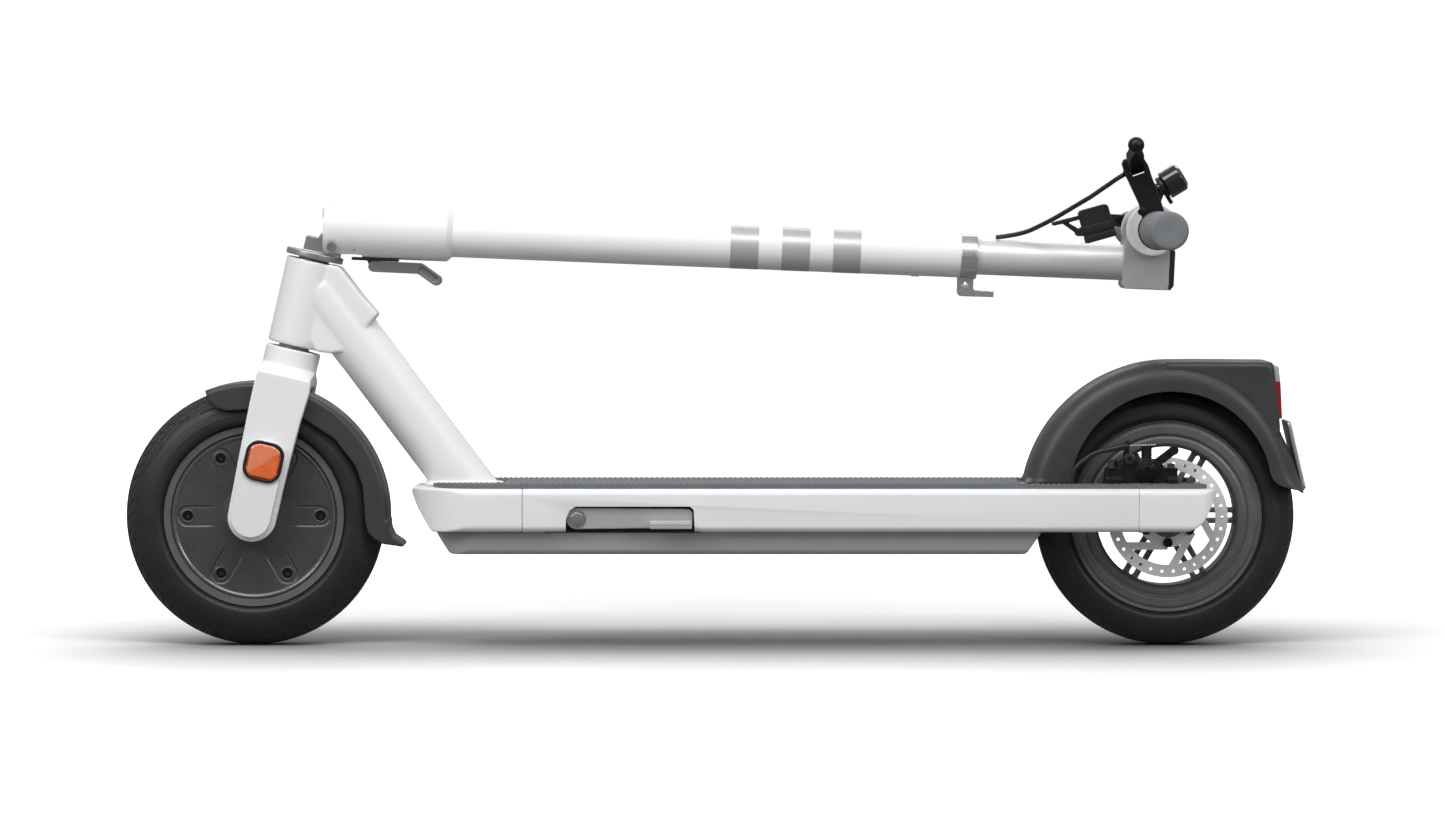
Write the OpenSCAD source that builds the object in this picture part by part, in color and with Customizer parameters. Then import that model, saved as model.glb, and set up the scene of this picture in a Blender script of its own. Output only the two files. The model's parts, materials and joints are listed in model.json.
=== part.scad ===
// Folding electric kick scooter, shown folded, as an assembly of separate pieces.
// +X points to the rear wheel, +Y to the scooter's right, +Z up. The origin is on the
// ground, in the middle of the folded scooter's length and width.

/* [Wheels] */
// Outer radius of both tyres
tyre_r = 127; // [125:0.5:127]
// Width of both tyres
tyre_w = 54; // [48:1:56]
// Distance of the front axle ahead of the origin
front_axle_x = 452; // [452:0.5:454]
// Distance of the rear axle behind the origin
rear_axle_x = 441.8; // [441:0.2:442]
// Radius of the wheel axles
axle_r = 6; // [5:0.5:6]

/* [Brake rotor] */
// Outer radius of the brake rotor
rotor_r = 58.6; // [57:0.1:59]
// Number of ventilation holes in the rotor
rotor_holes = 30; // [12:1:36]
// Plane of the rotor's middle, left of the centre line
rotor_y = 38.9; // [38.7:0.1:39.1]

/* [Deck] */
// Half width of the deck
deck_hw = 80; // [78:1:84]
// Height of the deck's top face above the ground
deck_top = 156.5; // [156:0.5:157]
// Height of the deck rails' lower edge
rail_bot = 114.6; // [114:0.2:115]
// Height of the bottom cover's lowest face
cover_bot = 92; // [90:1:95]
// Half width of the slot that the rear wheel turns in
slot_hw = 47; // [46:0.5:48]
// Top of the ribbed standing mat
mat_top = 161; // [159:0.5:162]

/* [Steering] */
// Backward lean of the steering axis from vertical
head_angle = 13; // [13:0.5:13.5]
// Outer radius of the head tube
head_r = 26.5; // [26:0.1:27]
// Radius of the steerer tube
steerer_r = 15; // [14:0.5:15]

/* [Fold] */
// Slope of the folded stem, nose up
fold_slope = 2.31; // [2:0.01:2.6]
// Radius of the fold hinge pin
hinge_pin_r = 4; // [3:0.5:4]
// Radius of the round hinge block at the foot of the stem
block_r = 26.5; // [26:0.1:27]

/* [Stem] */
// Radius of the painted lower stem tube
stem_r = 21.1; // [20:0.1:21.5]
// Radius of the bare upper stem tube
upper_r = 17.5; // [17:0.1:18]
// Distance from hinge pin to the top end of the painted tube
stem_len = 615.7; // [600:0.1:616]

/* [Handlebar] */
// Half width across the grip ends
bar_hw = 235; // [225:1:240]
// Radius of the handlebar tube
bar_r = 11.1; // [11:0.1:12]
// Radius of the grips
grip_r = 18.2; // [16:0.1:19]

/* [Hidden] */
$fn = 96;
eps = 0.01;
pin_x = -375;
pin_z = 390.7;
stem_x = -15.75;
bar_x = -49;
bar_z = 800;
lever_tilt = -21.5;
disc_top = 264.9;
pin_sx = 15.7;
pin_sz = 274.3;
fw = [-front_axle_x, 0, tyre_r];
rw = [rear_axle_x, 0, tyre_r];

// points of the rear brake cable's free run over the deck
rear_cable_pts = [[347, -54, 157], [347.5, -54, 163], [348.5, -54.5, 169], [350.5, -55, 175], [354, -55.5, 179.5], [359, -56, 183.5], [365, -56.5, 188], [371, -57, 191], [378, -57, 193], [386, -57, 194.5], [394, -57, 196.5]];
// points of the brake cable from the lever housing to the stem, in the stem's frame
bar_cable_pts = [[-101, -80, 766], [-97, -77, 760], [-93, -73, 755], [-86, -67, 746], [-79, -61, 737], [-72.5, -54, 727.5], [-66, -47, 718], [-59.5, -40, 708.5], [-53.5, -33, 699], [-48, -26, 689.5], [-43, -19, 680], [-39.6, -12.5, 670], [-37.3, -7, 660], [-35.5, -2.6, 650]];

// ---------- frames ----------
// steering frame: origin on the front axle, z along the steering axis
module steer() translate(fw) rotate([0, head_angle, 0]) children();
// stem frame: origin on the fold pin, z along the stem, +x on the rider's side
module stem() translate([pin_x, 0, pin_z]) rotate([0, 90 + fold_slope, 0]) children();
// control frame: origin on the handlebar's axis, -x towards the brake lever
module ctrl() stem() translate([bar_x, 0, bar_z]) rotate([0, lever_tilt, 0]) children();
// wheel frames: z along the axle, towards the scooter's left side
module fwheel() translate(fw) rotate([90, 0, 0]) children();
module rwheel() translate(rw) rotate([90, 0, 0]) children();

// ---------- helpers ----------
// a flat outline in x and z, from y0 to y1
module slab(y0, y1) translate([0, y1, 0]) rotate([90, 0, 0]) linear_extrude(y1 - y0) children();
module both() { children(); mirror([0, 1, 0]) children(); }
// round bar along y
module ybar(r, y0, y1) translate([0, y1, 0]) rotate([90, 0, 0]) cylinder(r = r, h = y1 - y0);
module yring(ro, ri, y0, y1) difference() { ybar(ro, y0, y1); ybar(ri, y0 - 1, y1 + 1); }
// rectangle with round corners
module rrect(w, h, r) {
  square([w - 2 * r, h], center = true);
  square([w, h - 2 * r], center = true);
  for (i = [-1, 1], j = [-1, 1]) translate([i * (w / 2 - r), j * (h / 2 - r)]) circle(r = r);
}
// a bar with round ends between two points
module capsule2(a, b, r) {
  d = b - a;
  translate(a) circle(r = r);
  translate(b) circle(r = r);
  translate(a) rotate(atan2(d[1], d[0])) translate([0, -r]) square([norm(d), 2 * r]);
}
module box3(a, b) translate(a) cube(b - a);

// sweep of a round cord along points, closed at both ends
function unit(v) = v / norm(v);
function tangent(p, i) = unit(p[min(i + 1, len(p) - 1)] - p[max(i - 1, 0)]);
function side_v(t) = unit(cross(t, [0.3, 0.9, 0.2]));
module cord(p, r, sides = 8) {
  n = len(p);
  pts = [for (i = [0:n - 1]) let (t = tangent(p, i), u = side_v(t), v = cross(t, u))
    for (k = [0:sides - 1]) p[i] + r * (cos(360 * k / sides) * u + sin(360 * k / sides) * v)];
  walls = [for (i = [0:n - 2], k = [0:sides - 1]) let (k2 = (k + 1) % sides)
    [i * sides + k, (i + 1) * sides + k, (i + 1) * sides + k2, i * sides + k2]];
  polyhedron(concat(pts), concat(walls, [[for (k = [0:sides - 1]) k]],
    [[for (k = [sides - 1:-1:0]) (n - 1) * sides + k]]), convexity = 4);
}

// ---------- wheels ----------
// tyre section, with its bead between the rim flanges
function tyre_arc(rf, k) = let (hw = tyre_w / 2) [for (i = [0:k]) let (a = -90 + 180 * i / k)
  [rf + 6 + (tyre_r - rf - 6) * cos(a) * (1 - 0.04 * pow(sin(a), 2)), hw * sin(a) * (1 - 0.035 * pow(cos(a), 8))]];
module tyre(rf) rotate_extrude($fn = 128)
  difference() {
    polygon(concat([[rf - 3.7, 18.4], [rf - 3.7, -18.4], [rf + 1, -18.4], [rf + 1.5, -tyre_w / 2 + 4], [rf + 3, -tyre_w / 2 + 1]],
      tyre_arc(rf, 20), [[rf + 3, tyre_w / 2 - 1], [rf + 1.5, tyre_w / 2 - 4], [rf + 1, 18.4]]));
    translate([rf + 15, 0]) square([14, 20], center = true);
  }

module front_tyre() color([0.12, 0.12, 0.13]) fwheel() tyre(88.5);
module rear_tyre() color([0.12, 0.12, 0.13]) rwheel() tyre(94);

// rim of the hub motor, with the magnet ring on its inside
module motor_shell() color([0.36, 0.36, 0.37]) fwheel() {
  rotate_extrude($fn = 128) polygon([[60, -11.9], [80.2, -11.9], [80.2, -19], [82, -21.5], [88.2, -22], [88.5, -18.6], [84.6, -18.6], [84.6, 18.6], [88.5, 18.6], [88.2, 22], [82, 21.5], [80.2, 19], [80.2, 11.9], [60, 11.9]]);
  rotate_extrude($fn = 128) polygon([[56, -11], [59.9, -11], [59.9, 11], [56, 11]]);
}
module motor_cover() difference() {
  rotate_extrude($fn = 128) polygon([[14.03, 12.2], [14.03, 25], [17, 26], [21, 26], [24, 21], [32, 19.9], [76, 19.9], [78.5, 21.2], [80, 21.2], [80, 12], [58, 12], [58, 16], [20, 16], [20, 12.2]]);
  for (k = [0:5]) rotate(60 * k) translate([65, 0, 0]) {
    translate([0, 0, 5]) cylinder(r = 2.6, h = 30, $fn = 24);
    translate([0, 0, 15]) cylinder(r = 4.4, h = 30, $fn = 32);
  }
}
module motor_covers() color([0.33, 0.33, 0.34]) fwheel() { motor_cover(); mirror([0, 0, 1]) motor_cover(); }
module motor_cover_screws() color([0.1, 0.1, 0.1]) fwheel() for (m = [0, 1]) mirror([0, 0, m])
  for (k = [0:5]) rotate(60 * k) translate([65, 0, 0]) difference() {
    union() { translate([0, 0, 12.1]) cylinder(r = 2.5, h = 3, $fn = 24); translate([0, 0, 15.1]) cylinder(r = 4.3, h = 3, $fn = 32); }
    translate([0, 0, 16]) cylinder(r = 2, h = 5, $fn = 6);
  }
module bearing(ri, ro, z0, z1) difference() {
  union() {
    difference() { translate([0, 0, z0]) cylinder(r = ro, h = z1 - z0); translate([0, 0, z0 - 1]) cylinder(r = ro - 2, h = 20); }
    difference() { translate([0, 0, z0]) cylinder(r = ri + 2, h = z1 - z0); translate([0, 0, z0 - 1]) cylinder(r = ri, h = 20); }
    difference() { translate([0, 0, z0 + 0.6]) cylinder(r = ro - 1.5, h = z1 - z0 - 1.2); translate([0, 0, z0 - 1]) cylinder(r = ri + 1.5, h = 20); }
  }
}
module front_wheel_bearings() color([0.75, 0.75, 0.77]) fwheel() for (m = [0, 1]) mirror([0, 0, m]) bearing(axle_r + 2.05, 14, 16.5, 24.5);

// spoked rear rim with a drop-centre bed
module rear_rim() color([0.3, 0.3, 0.31]) rwheel() {
  difference() {
    union() {
      rotate_extrude($fn = 128) polygon([[68, -17], [71, -19.5], [76.5, -19.5], [77.5, -18.5], [79.5, -18.5], [80.5, -20.5], [89, -20.5], [90, -19.2], [92, -19.2], [93, -21.5], [94, -21.5], [94, -18.6], [90.2, -18.6], [90.2, -13], [78, -9], [78, 9], [90.2, 13], [90.2, 18.6], [94, 18.6], [94, 21.5], [93, 21.5], [92, 19.2], [90, 19.2], [89, 20.5], [80.5, 20.5], [79.5, 18.5], [77.5, 18.5], [76.5, 19.5], [71, 19.5], [68, 17]]);
      for (k = [0:5]) rotate(60 * k + 60) translate([0, 0, -6]) linear_extrude(12) difference() {
        capsule2([12, 0], [65.2, 0], 7.8);
        capsule2([27, 0], [64.6, 0], 2.6);
      }
      translate([0, 0, -22]) cylinder(r = 20, h = 50);
      translate([0, 0, 27.9]) cylinder(r = 29.4, h = rotor_y - 0.9 - 27.9);
      translate([0, 0, 5]) cylinder(r1 = 18, r2 = 27, h = 23);
    }
    translate([0, 0, -30]) cylinder(r = 10, h = 80);
    translate([0, 0, -23]) cylinder(r = 14.03, h = 9);
    translate([0, 0, rotor_y - 9.9]) cylinder(r = 14.03, h = 12);
    for (k = [0:5]) rotate(60 * k + 30) translate([24.5, 0, 22]) cylinder(r = 2.55, h = 30, $fn = 24);
  }
}
// ventilated disc on six slanting arms
module brake_rotor() color([0.78, 0.78, 0.79]) rwheel() translate([0, 0, rotor_y - 0.9]) linear_extrude(1.8) {
  difference() {
    circle(r = rotor_r, $fn = 160);
    circle(r = 46.5, $fn = 128);
    for (k = [0:rotor_holes - 1]) rotate(360 * k / rotor_holes) translate([53, 0]) circle(r = 1.6, $fn = 20);
  }
  difference() { circle(r = 29.4); circle(r = 19.5); for (k = [0:5]) rotate(60 * k + 30) translate([24.5, 0]) circle(r = 2.6, $fn = 24); }
  intersection() {
    difference() { circle(r = 48); circle(r = 28); }
    for (k = [0:5]) rotate(60 * k) translate([0, 24.3]) square([60, 7.4]);
  }
}
module rotor_bolts() color([0.1, 0.1, 0.1]) rwheel() for (k = [0:5]) rotate(60 * k + 30) translate([24.5, 0, 0]) difference() {
  union() { translate([0, 0, 26]) cylinder(r = 2.5, h = rotor_y + 0.95 - 26, $fn = 24); translate([0, 0, rotor_y + 0.92]) cylinder(r = 4.7, h = 2.4, $fn = 32); }
  translate([0, 0, rotor_y + 1.9]) cylinder(r = 2, h = 5, $fn = 6);
}
module rear_wheel_bearings() color([0.75, 0.75, 0.77]) rwheel() { bearing(axle_r + 0.05, 14, -22, -14); bearing(axle_r + 0.05, 14, rotor_y - 9.6, rotor_y - 1.6); }
module rear_axle() color([0.6, 0.6, 0.62]) rwheel() {
  translate([0, 0, -66]) cylinder(r = axle_r, h = 132);
  for (s = [-46.9, 37.6]) difference() { translate([0, 0, s]) cylinder(r = 9, h = s < 0 ? 24.6 : 9.3); translate([0, 0, s - 1]) cylinder(r = axle_r, h = 40); }
}

// ---------- fork ----------
module fork_crown() color([0.93, 0.93, 0.93]) steer() difference() {
  union() {
    translate([0, 0, 146]) cylinder(r = 27, h = 22);
    hull() {
      translate([0, 0, 148]) cylinder(r = 27, h = 2, $fn = 64);
      for (s = [-1, 1]) translate([0, s * 39.3, 138]) cube([52, 13.4, 8], center = true);
    }
    both() slab(32.6, 46) { polygon([[-27, 140], [27, 140], [27.6, 130], [25.3, 99.4], [24, 60], [23.6, 30], [23.6, 0], [-23.6, 0], [-24.6, 30], [-25.8, 60], [-27, 110]]); circle(r = 23.6); }
  }
  translate([0, 0, 139]) cylinder(r = steerer_r, h = 40);
  ybar(axle_r, -60, 60);
  translate([0, 0, 70]) cube([80, 62, 124], center = true);
}
module steerer_tube() color([0.6, 0.6, 0.62]) steer() difference() {
  translate([0, 0, 139]) cylinder(r = steerer_r, h = 258.9 - 139);
  translate([0, 0, 138]) cylinder(r = steerer_r - 3, h = 140);
}
// turning foot of the fold hinge, with its central lug
module hinge_base() color([0.66, 0.66, 0.67]) steer() difference() {
  union() {
    translate([0, 0, 258.9]) cylinder(r = 28.2, h = disc_top - 258.9);
    slab(-11.9, 11.9) {
      polygon([[-12, disc_top - 1], [-12, 280], [0, 280.2], [1.5, 284.5], [5, 287], [23, 281], [24.5, disc_top - 1]]);
      translate([pin_sx, pin_sz]) circle(r = 9.2);
    }
  }
  translate([pin_sx, 0, pin_sz]) ybar(hinge_pin_r + 0.05, -20, 20);
  translate([0, 0, 250]) cylinder(r = 11, h = disc_top - 255);
  // pocket for the hinge block's tongue
  box3([-23.8, -8.4, 262], [-12, 8.4, 266]);
}
module front_axle() color([0.6, 0.6, 0.62]) fwheel() {
  translate([0, 0, -51]) cylinder(r = axle_r, h = 102);
  difference() { translate([0, 0, -32.3]) cylinder(r = axle_r + 2, h = 64.6); translate([0, 0, -40]) cylinder(r = axle_r - 0.5, h = 80); }
  for (m = [0, 1]) mirror([0, 0, m]) difference() { translate([0, 0, 46.1]) cylinder(r = 10.8, h = 5.2, $fn = 6); translate([0, 0, 40]) cylinder(r = axle_r, h = 20); }
}
module hub_stator() color([0.55, 0.32, 0.18]) fwheel() difference() {
  union() {
    translate([0, 0, -10]) cylinder(r = 34, h = 20);
    for (k = [0:17]) rotate(20 * k) translate([32, -2.2, -9]) cube([18, 4.4, 18]);
    difference() { translate([0, 0, -10]) cylinder(r = 55, h = 20, $fn = 128); translate([0, 0, -11]) cylinder(r = 49, h = 22); }
  }
  translate([0, 0, -20]) cylinder(r = axle_r + 2.02, h = 40);
}
module fork_leg_covers() color([0.95, 0.95, 0.95]) steer() both() difference() {
  slab(46.1, 53.5) capsule2([-0.5, 0], [-0.5, 57], 19.3);
  ybar(11.2, 45, 51.5);
}
module fork_reflectors() color([0.95, 0.45, 0.15]) steer() both() translate([-0.3, 0, 56.5]) {
  color([0.05, 0.05, 0.05]) difference() { slab(53.6, 56.2) rrect(38, 39.5, 13); slab(54.4, 60) rrect(33, 34.6, 11); }
  color([0.95, 0.45, 0.15]) slab(54.5, 57) rrect(32.8, 34.4, 10.9);
}
// mudguard over the front wheel, with a flared rear flap
module front_fender() color([0.24, 0.24, 0.25]) {
  translate(fw) rotate([90, 0, 0]) intersection() {
    rotate_extrude($fn = 160) polygon([[105, 29.6], [105, 31.9], [128, 31.9], [131, 29.5], [132.2, 22], [132.2, -22], [131, -29.5], [128, -31.9], [105, -31.9], [105, -29.6], [127.6, -29.6], [129, -28], [129.9, -21], [129.9, 21], [129, 28], [127.6, 29.6]]);
    translate([0, 0, -40]) linear_extrude(80) difference() {
      polygon([[-51, 126], [-47, 122.3], [-42.3, 112.5], [-34.4, 106], [-24.7, 103.5], [-4, 104.8], [40, 102], [80, 76], [100, 50], [107, 30], [108.5, 10], [109.5, -4], [135, -4], [145, 60], [60, 145], [-60, 145]]);
      circle(r = 104.9);
    }
  }
  // seat under the fork crown
  steer() difference() { translate([0, 0, 130.5]) cylinder(r = 8, h = 3.45); translate([0, 0, 120]) cylinder(r = 2.6, h = 30, $fn = 24); }
  // flared flap
  difference() {
    translate(fw) slab(-31.9, 31.9) polygon([[109.4, -3.9], [111.8, -15], [118.2, -22], [126.5, -26.8], [147.4, -29.8], [146, -26.5], [136, -19.6], [132.6, -11.2], [132.4, -3.9]]);
    translate(fw) slab(-29.6, 29.6) polygon([[100, -3], [100, -30], [126, -26.9], [147, -30.5], [146.2, -29.5], [135, -22.5], [130.8, -12.2], [130.1, -3]]);
    translate(fw) slab(-29.6, 29.6) translate([108, -40]) square([18, 40]);
  }
}

// ---------- frame and deck ----------
module down_tube(w, d, r, t0, t1) translate([-308.1, 0, 240.1]) rotate([0, 143.04, 0]) translate([0, 0, t0]) linear_extrude(t1 - t0) rrect(w, d, r);
module main_frame() color([0.93, 0.93, 0.93]) difference() {
  union() {
    steer() translate([0, 0, 171.3]) cylinder(r = head_r, h = 85.6);
    intersection() { down_tube(54.5, 50, 24.5, -137, 130); translate([-450, -100, deck_top + 0.5]) cube([400, 200, 300]); }
    translate([-246, 0, deck_top]) linear_extrude(3.5) rrect(78, 60, 16);
    // web between the head tube and the down tube
    slab(-22.5, 22.5) polygon([[-396, 300], [-391, 288.5], [-376, 286.4], [-366, 288.2], [-358, 293.5], [-345, 308], [-330, 325], [-345, 342], [-367, 371], [-378, 374]]);
  }
  steer() translate([0, 0, 165]) cylinder(r = 22, h = 100);
  steer() translate([0, 0, 171]) cylinder(r = 23.5, h = 9.3);
  steer() translate([0, 0, 247.6]) cylinder(r = 23.5, h = 12);
  intersection() { down_tube(47, 42.5, 20.5, -95, 130); translate([-450, -100, deck_top - 1]) cube([400, 200, 300]); }
}
module headset_bearings() color([0.7, 0.7, 0.72]) steer() { bearing(steerer_r + 0.05, 23.5, 171.5, 180.2); bearing(steerer_r + 0.05, 23.5, 247.7, 256.6); }

// plan outline of the whole deck, with the wheel slot cut from the rear
module deck_plan(x0, x1, hw, r0) {
  translate([x0, -hw + r0]) square([x1 - x0, 2 * (hw - r0)]);
  translate([x0 + r0, -hw]) square([x1 - x0 - r0, 2 * hw]);
  for (s = [-1, 1]) translate([x0 + r0, s * (hw - r0)]) circle(r = r0);
}
module rail_section() translate([0, (rail_bot + deck_top) / 2]) rrect(2 * deck_hw, deck_top - rail_bot, 6.5);
// a y-z section, from x0 to x1
module along_x(x0, x1) translate([x0, 0, 0]) rotate([90, 0, 90]) linear_extrude(x1 - x0) children();
module deck_nose() color([0.93, 0.93, 0.93]) difference() {
  intersection() {
    along_x(-300, -187) rail_section();
    slab(-90, 90) polygon([[-297.2, 152.6], [-296, 155.3], [-292.5, deck_top], [-150, deck_top], [-150, rail_bot], [-275, rail_bot], [-279.8, 121.2], [-289.9, 136.9]]);
    translate([0, 0, 80]) linear_extrude(100) deck_plan(-297.2, -150, deck_hw, 58);
  }
  box3([-262, -deck_hw + 12, rail_bot - 1], [-180, deck_hw - 12, deck_top - 5]);
}
module deck_extrusion() color([0.93, 0.93, 0.93]) difference() {
  along_x(-186.6, 410.5) rail_section();
  box3([-190, -deck_hw + 3.5, rail_bot + 3.5], [300, deck_hw - 3.5, deck_top - 4]);
  box3([-190, -62, 100], [300, 62, rail_bot + 4]);
  box3([-166, -deck_hw + 3.4, 100], [-13.9, -64.1, rail_bot + 4]);
  box3([306, -slot_hw, 90], [420, slot_hw, 200]);
  for (s = [-1, 1]) translate([0, s * 63.5, 0]) box3([306, -12.8, rail_bot + 3.5], [420, 12.8, deck_top - 4]);
  // recess for the folded kickstand
  slab(-90, -66) polygon([[-145.7, 100], [-144.5, 128], [-141, 136], [-135.2, 139.8], [-24.5, 139.8], [-20.8, 136.7], [-19.2, 100]]);
  // charging socket hole
  translate([-90, 0, 134]) ybar(13.1, 60, 90);
}
module deck_tail() color([0.93, 0.93, 0.93]) difference() {
  intersection() {
    along_x(410.7, 490) rail_section();
    slab(-90, 90) polygon([[400, 160], [486.5, 160], [487, 152], [484.5, 146], [481.5, 140], [477, 130], [472.5, 123], [465.5, 117.5], [458, rail_bot], [400, rail_bot]]);
    translate([0, 0, 80]) linear_extrude(100) for (s = [-1, 1]) { translate([400, s * 63.5 - 16.5]) square([71, 33]); translate([470.8, s * 63.5]) circle(r = 16.5); }
  }
  translate([rear_axle_x, 0, tyre_r]) ybar(axle_r, -66.1, 66.1);
}
module bottom_cover() color([0.7, 0.7, 0.71]) difference() {
  intersection() {
    along_x(-290, 330) polygon([[-66, rail_bot - 0.1], [66, rail_bot - 0.1], [63, cover_bot + 4], [59, cover_bot], [-59, cover_bot], [-63, cover_bot + 4]]);
    slab(-90, 90) polygon([[-274.8, rail_bot], [-259, cover_bot + 1], [-256, cover_bot], [300, cover_bot], [303, cover_bot + 1], [318, rail_bot]]);
    translate([0, 0, 80]) linear_extrude(100) deck_plan(-275, 340, 66, 50);
  }
  intersection() {
    along_x(-255, 296) polygon([[-63, 130], [63, 130], [60, cover_bot + 4], [58, cover_bot + 2.5], [-58, cover_bot + 2.5], [-60, cover_bot + 4]]);
    translate([0, 0, 80]) linear_extrude(100) deck_plan(-258, 340, 63, 48);
  }
  box3([306, -slot_hw, 80], [400, slot_hw, 200]);
}
module battery_pack() color([0.25, 0.35, 0.5]) {
  for (i = [0:8]) box3([-170 + 50.5 * i, -57, cover_bot + 4], [-170 + 50.5 * i + 50.4, 57, 140]);
}
module deck_mat() color([0.42, 0.44, 0.46]) difference() {
  translate([0, 0, deck_top + 0.02]) linear_extrude(mat_top - deck_top - 0.02) difference() {
    union() {
      deck_plan(-276, 400, 70, 46);
      for (s = [-1, 1]) { translate([390, s * 60 - 10]) square([78, 20]); translate([468, s * 60]) circle(r = 10); }
    }
    translate([-246, 0]) rrect(80, 62, 17);
    translate([-300, -29]) square([60, 58]);
    translate([298, -50]) square([200, 100]);
  }
  translate([347, -54, 150]) cylinder(r = 3, h = 20);
}

// ---------- rear fender, lamp and plate ----------
// the fender's outline runs round the tyre, over the top and down the back
module fender_out() polygon(concat(
  [for (a = [170:-4:90]) [447 + 147 * cos(a), 133 + 147 * sin(a)]],
  [[543.6, 279.2], [546, 274], [551.5, 222.5], [552.4, 214.1], [555.3, 205.3], [561.2, 193.5], [567.5, 181.3], [574.3, 152.1], [562.2, 154.5], [550.5, 157]]));
module fender_in() {
  translate([rear_axle_x, tyre_r]) circle(r = 130.6, $fn = 200);
  polygon(concat(
    [for (a = [190:-4:90]) [447 + 144 * cos(a), 133 + 144 * sin(a)]],
    [[540.5, 276.2], [543, 270], [548, 222], [549, 213], [551.5, 204], [557.6, 191.5], [560, 180], [560, 100]]));
}
module rear_fender() color([0.24, 0.24, 0.25]) difference() {
  slab(-43, 43) fender_out();
  slab(-40.4, 40.4) fender_in();
  translate([445, 0, 151]) ybar(99, -60, 60);
  slab(-60, 60) polygon([[346, 150], [346, 158], [539.7, 176], [543.6, 165.3], [550.5, 158.4], [562.2, 154.5], [575, 150]]);
  slab(-60, 60) polygon([[295, 150], [295, 161.1], [560, 161.1], [550.5, 158.4], [550, 150]]);
}
module tail_light() color([0.85, 0.1, 0.12]) slab(-24, 24) polygon([[546.1, 274.2], [551.2, 274.2], [553.2, 258], [554.9, 222.6], [551.6, 222.6]]);
// frame of the plate: x along the outward normal, z up along the plate
module plate_frame() translate([561.7, 0, 221]) rotate([0, -13.02, 0]) children();
module plate_bracket() color([0.5, 0.5, 0.52]) plate_frame() difference() {
  translate([-3.1, 0, -35]) rotate([0, 90, 0]) linear_extrude(3) rrect(70, 56, 5);
  for (s = [-1, 1]) translate([-10, s * 15, -54]) rotate([0, 90, 0]) cylinder(r = 2.5, h = 20, $fn = 24);
}
module number_plate() color([0.96, 0.96, 0.96]) plate_frame() difference() {
  translate([0, 0, -35]) rotate([0, 90, 0]) linear_extrude(1.5) rrect(67.5, 52.8, 4);
  for (s = [-1, 1]) translate([-10, s * 15, -54]) rotate([0, 90, 0]) cylinder(r = 2.5, h = 20, $fn = 24);
}

// ---------- rear brake ----------
cx = 420;
cz = 173.6;
module caliper_body() color([0.09, 0.09, 0.09]) difference() {
  union() {
    slab(-52, -29.5) polygon([[379.5, 161.2], [379.5, 169.9], [381.5, 175.8], [393, 175.8], [396, 182], [407, 184], [433, 184], [438, 176], [450.4, 176], [450.4, 161.2]]);
    translate([cx, 0, cz]) ybar(11.2, -54.5, -52);
    // mounting feet on the deck arm
    box3([381, -60, deck_top + 4.6], [395, -48, 166]);
    box3([440, -60, deck_top + 4.6], [450, -48, 166]);
    translate([388, -50, 175]) cylinder(r = 3.4, h = 9);
  }
  translate([rear_axle_x, 0, tyre_r]) ybar(60.5, -rotor_y - 2.6, -rotor_y + 2.6);
  box3([403, -46.5, 155], [437, -33, 181]);
  translate([cx, 0, cz]) ybar(4.05, -60, -46);
}
module fixed_brake_pad() color([0.3, 0.25, 0.22]) slab(-rotor_y + 1.2, -33.2) polygon([[404, 164], [404, 178], [415, 180.5], [431, 180.5], [436, 176], [436, 167], [418, 164]]);
module moving_brake_pad() color([0.3, 0.25, 0.22]) slab(-46, -rotor_y - 1.8) polygon([[404, 164], [404, 178], [415, 180.5], [431, 180.5], [436, 176], [436, 167], [418, 164]]);
module caliper_arm() color([0.12, 0.12, 0.12]) {
  translate([cx, 0, cz]) { ybar(4, -58.6, -46.4); ybar(7.5, -58.6, -54.9); }
  slab(-58.6, -54.9) capsule2([cx, cz], [446, 193.5], 4.2);
  translate([446, 0, 193.5]) ybar(4.6, -60.5, -54.9);
}
module rear_brake_cable() color([0.1, 0.1, 0.1]) {
  cord(rear_cable_pts, 2.4, 8);
  translate([394, -57, 196.5]) rotate([0, 82, 0]) cylinder(r = 3.4, h = 9);
  translate([402.9, -57, 197.8]) rotate([0, 88, 0]) cylinder(r = 0.9, h = 26, $fn = 24);
  // adjuster lug on the caliper
  slab(-53.8, -52.1) polygon([[396, 178], [403, 178], [403, 203], [399, 203]]);
  box3([399.5, -60, 194.2], [402.8, -53.8, 203]);
}

// ---------- charging socket, kickstand, battery side ----------
module charge_port() color([0.1, 0.1, 0.1]) translate([-90, 0, 134]) {
  difference() {
    union() {
      ybar(13, 68, 80.5);
      ybar(15, 80.02, 82);
      box3([-5.6, 80.02, 10], [5.6, 82, 19.6]);
      for (x = [-5.6, 3.3]) box3([x, 80.02, 14.6], [x + 2.3, 85, 19.6]);
    }
    ybar(4, 60, 90);
  }
  translate([-5, 83.6, 18]) rotate([0, 90, 0]) cylinder(r = 0.7, h = 10, $fn = 32);
}
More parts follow.
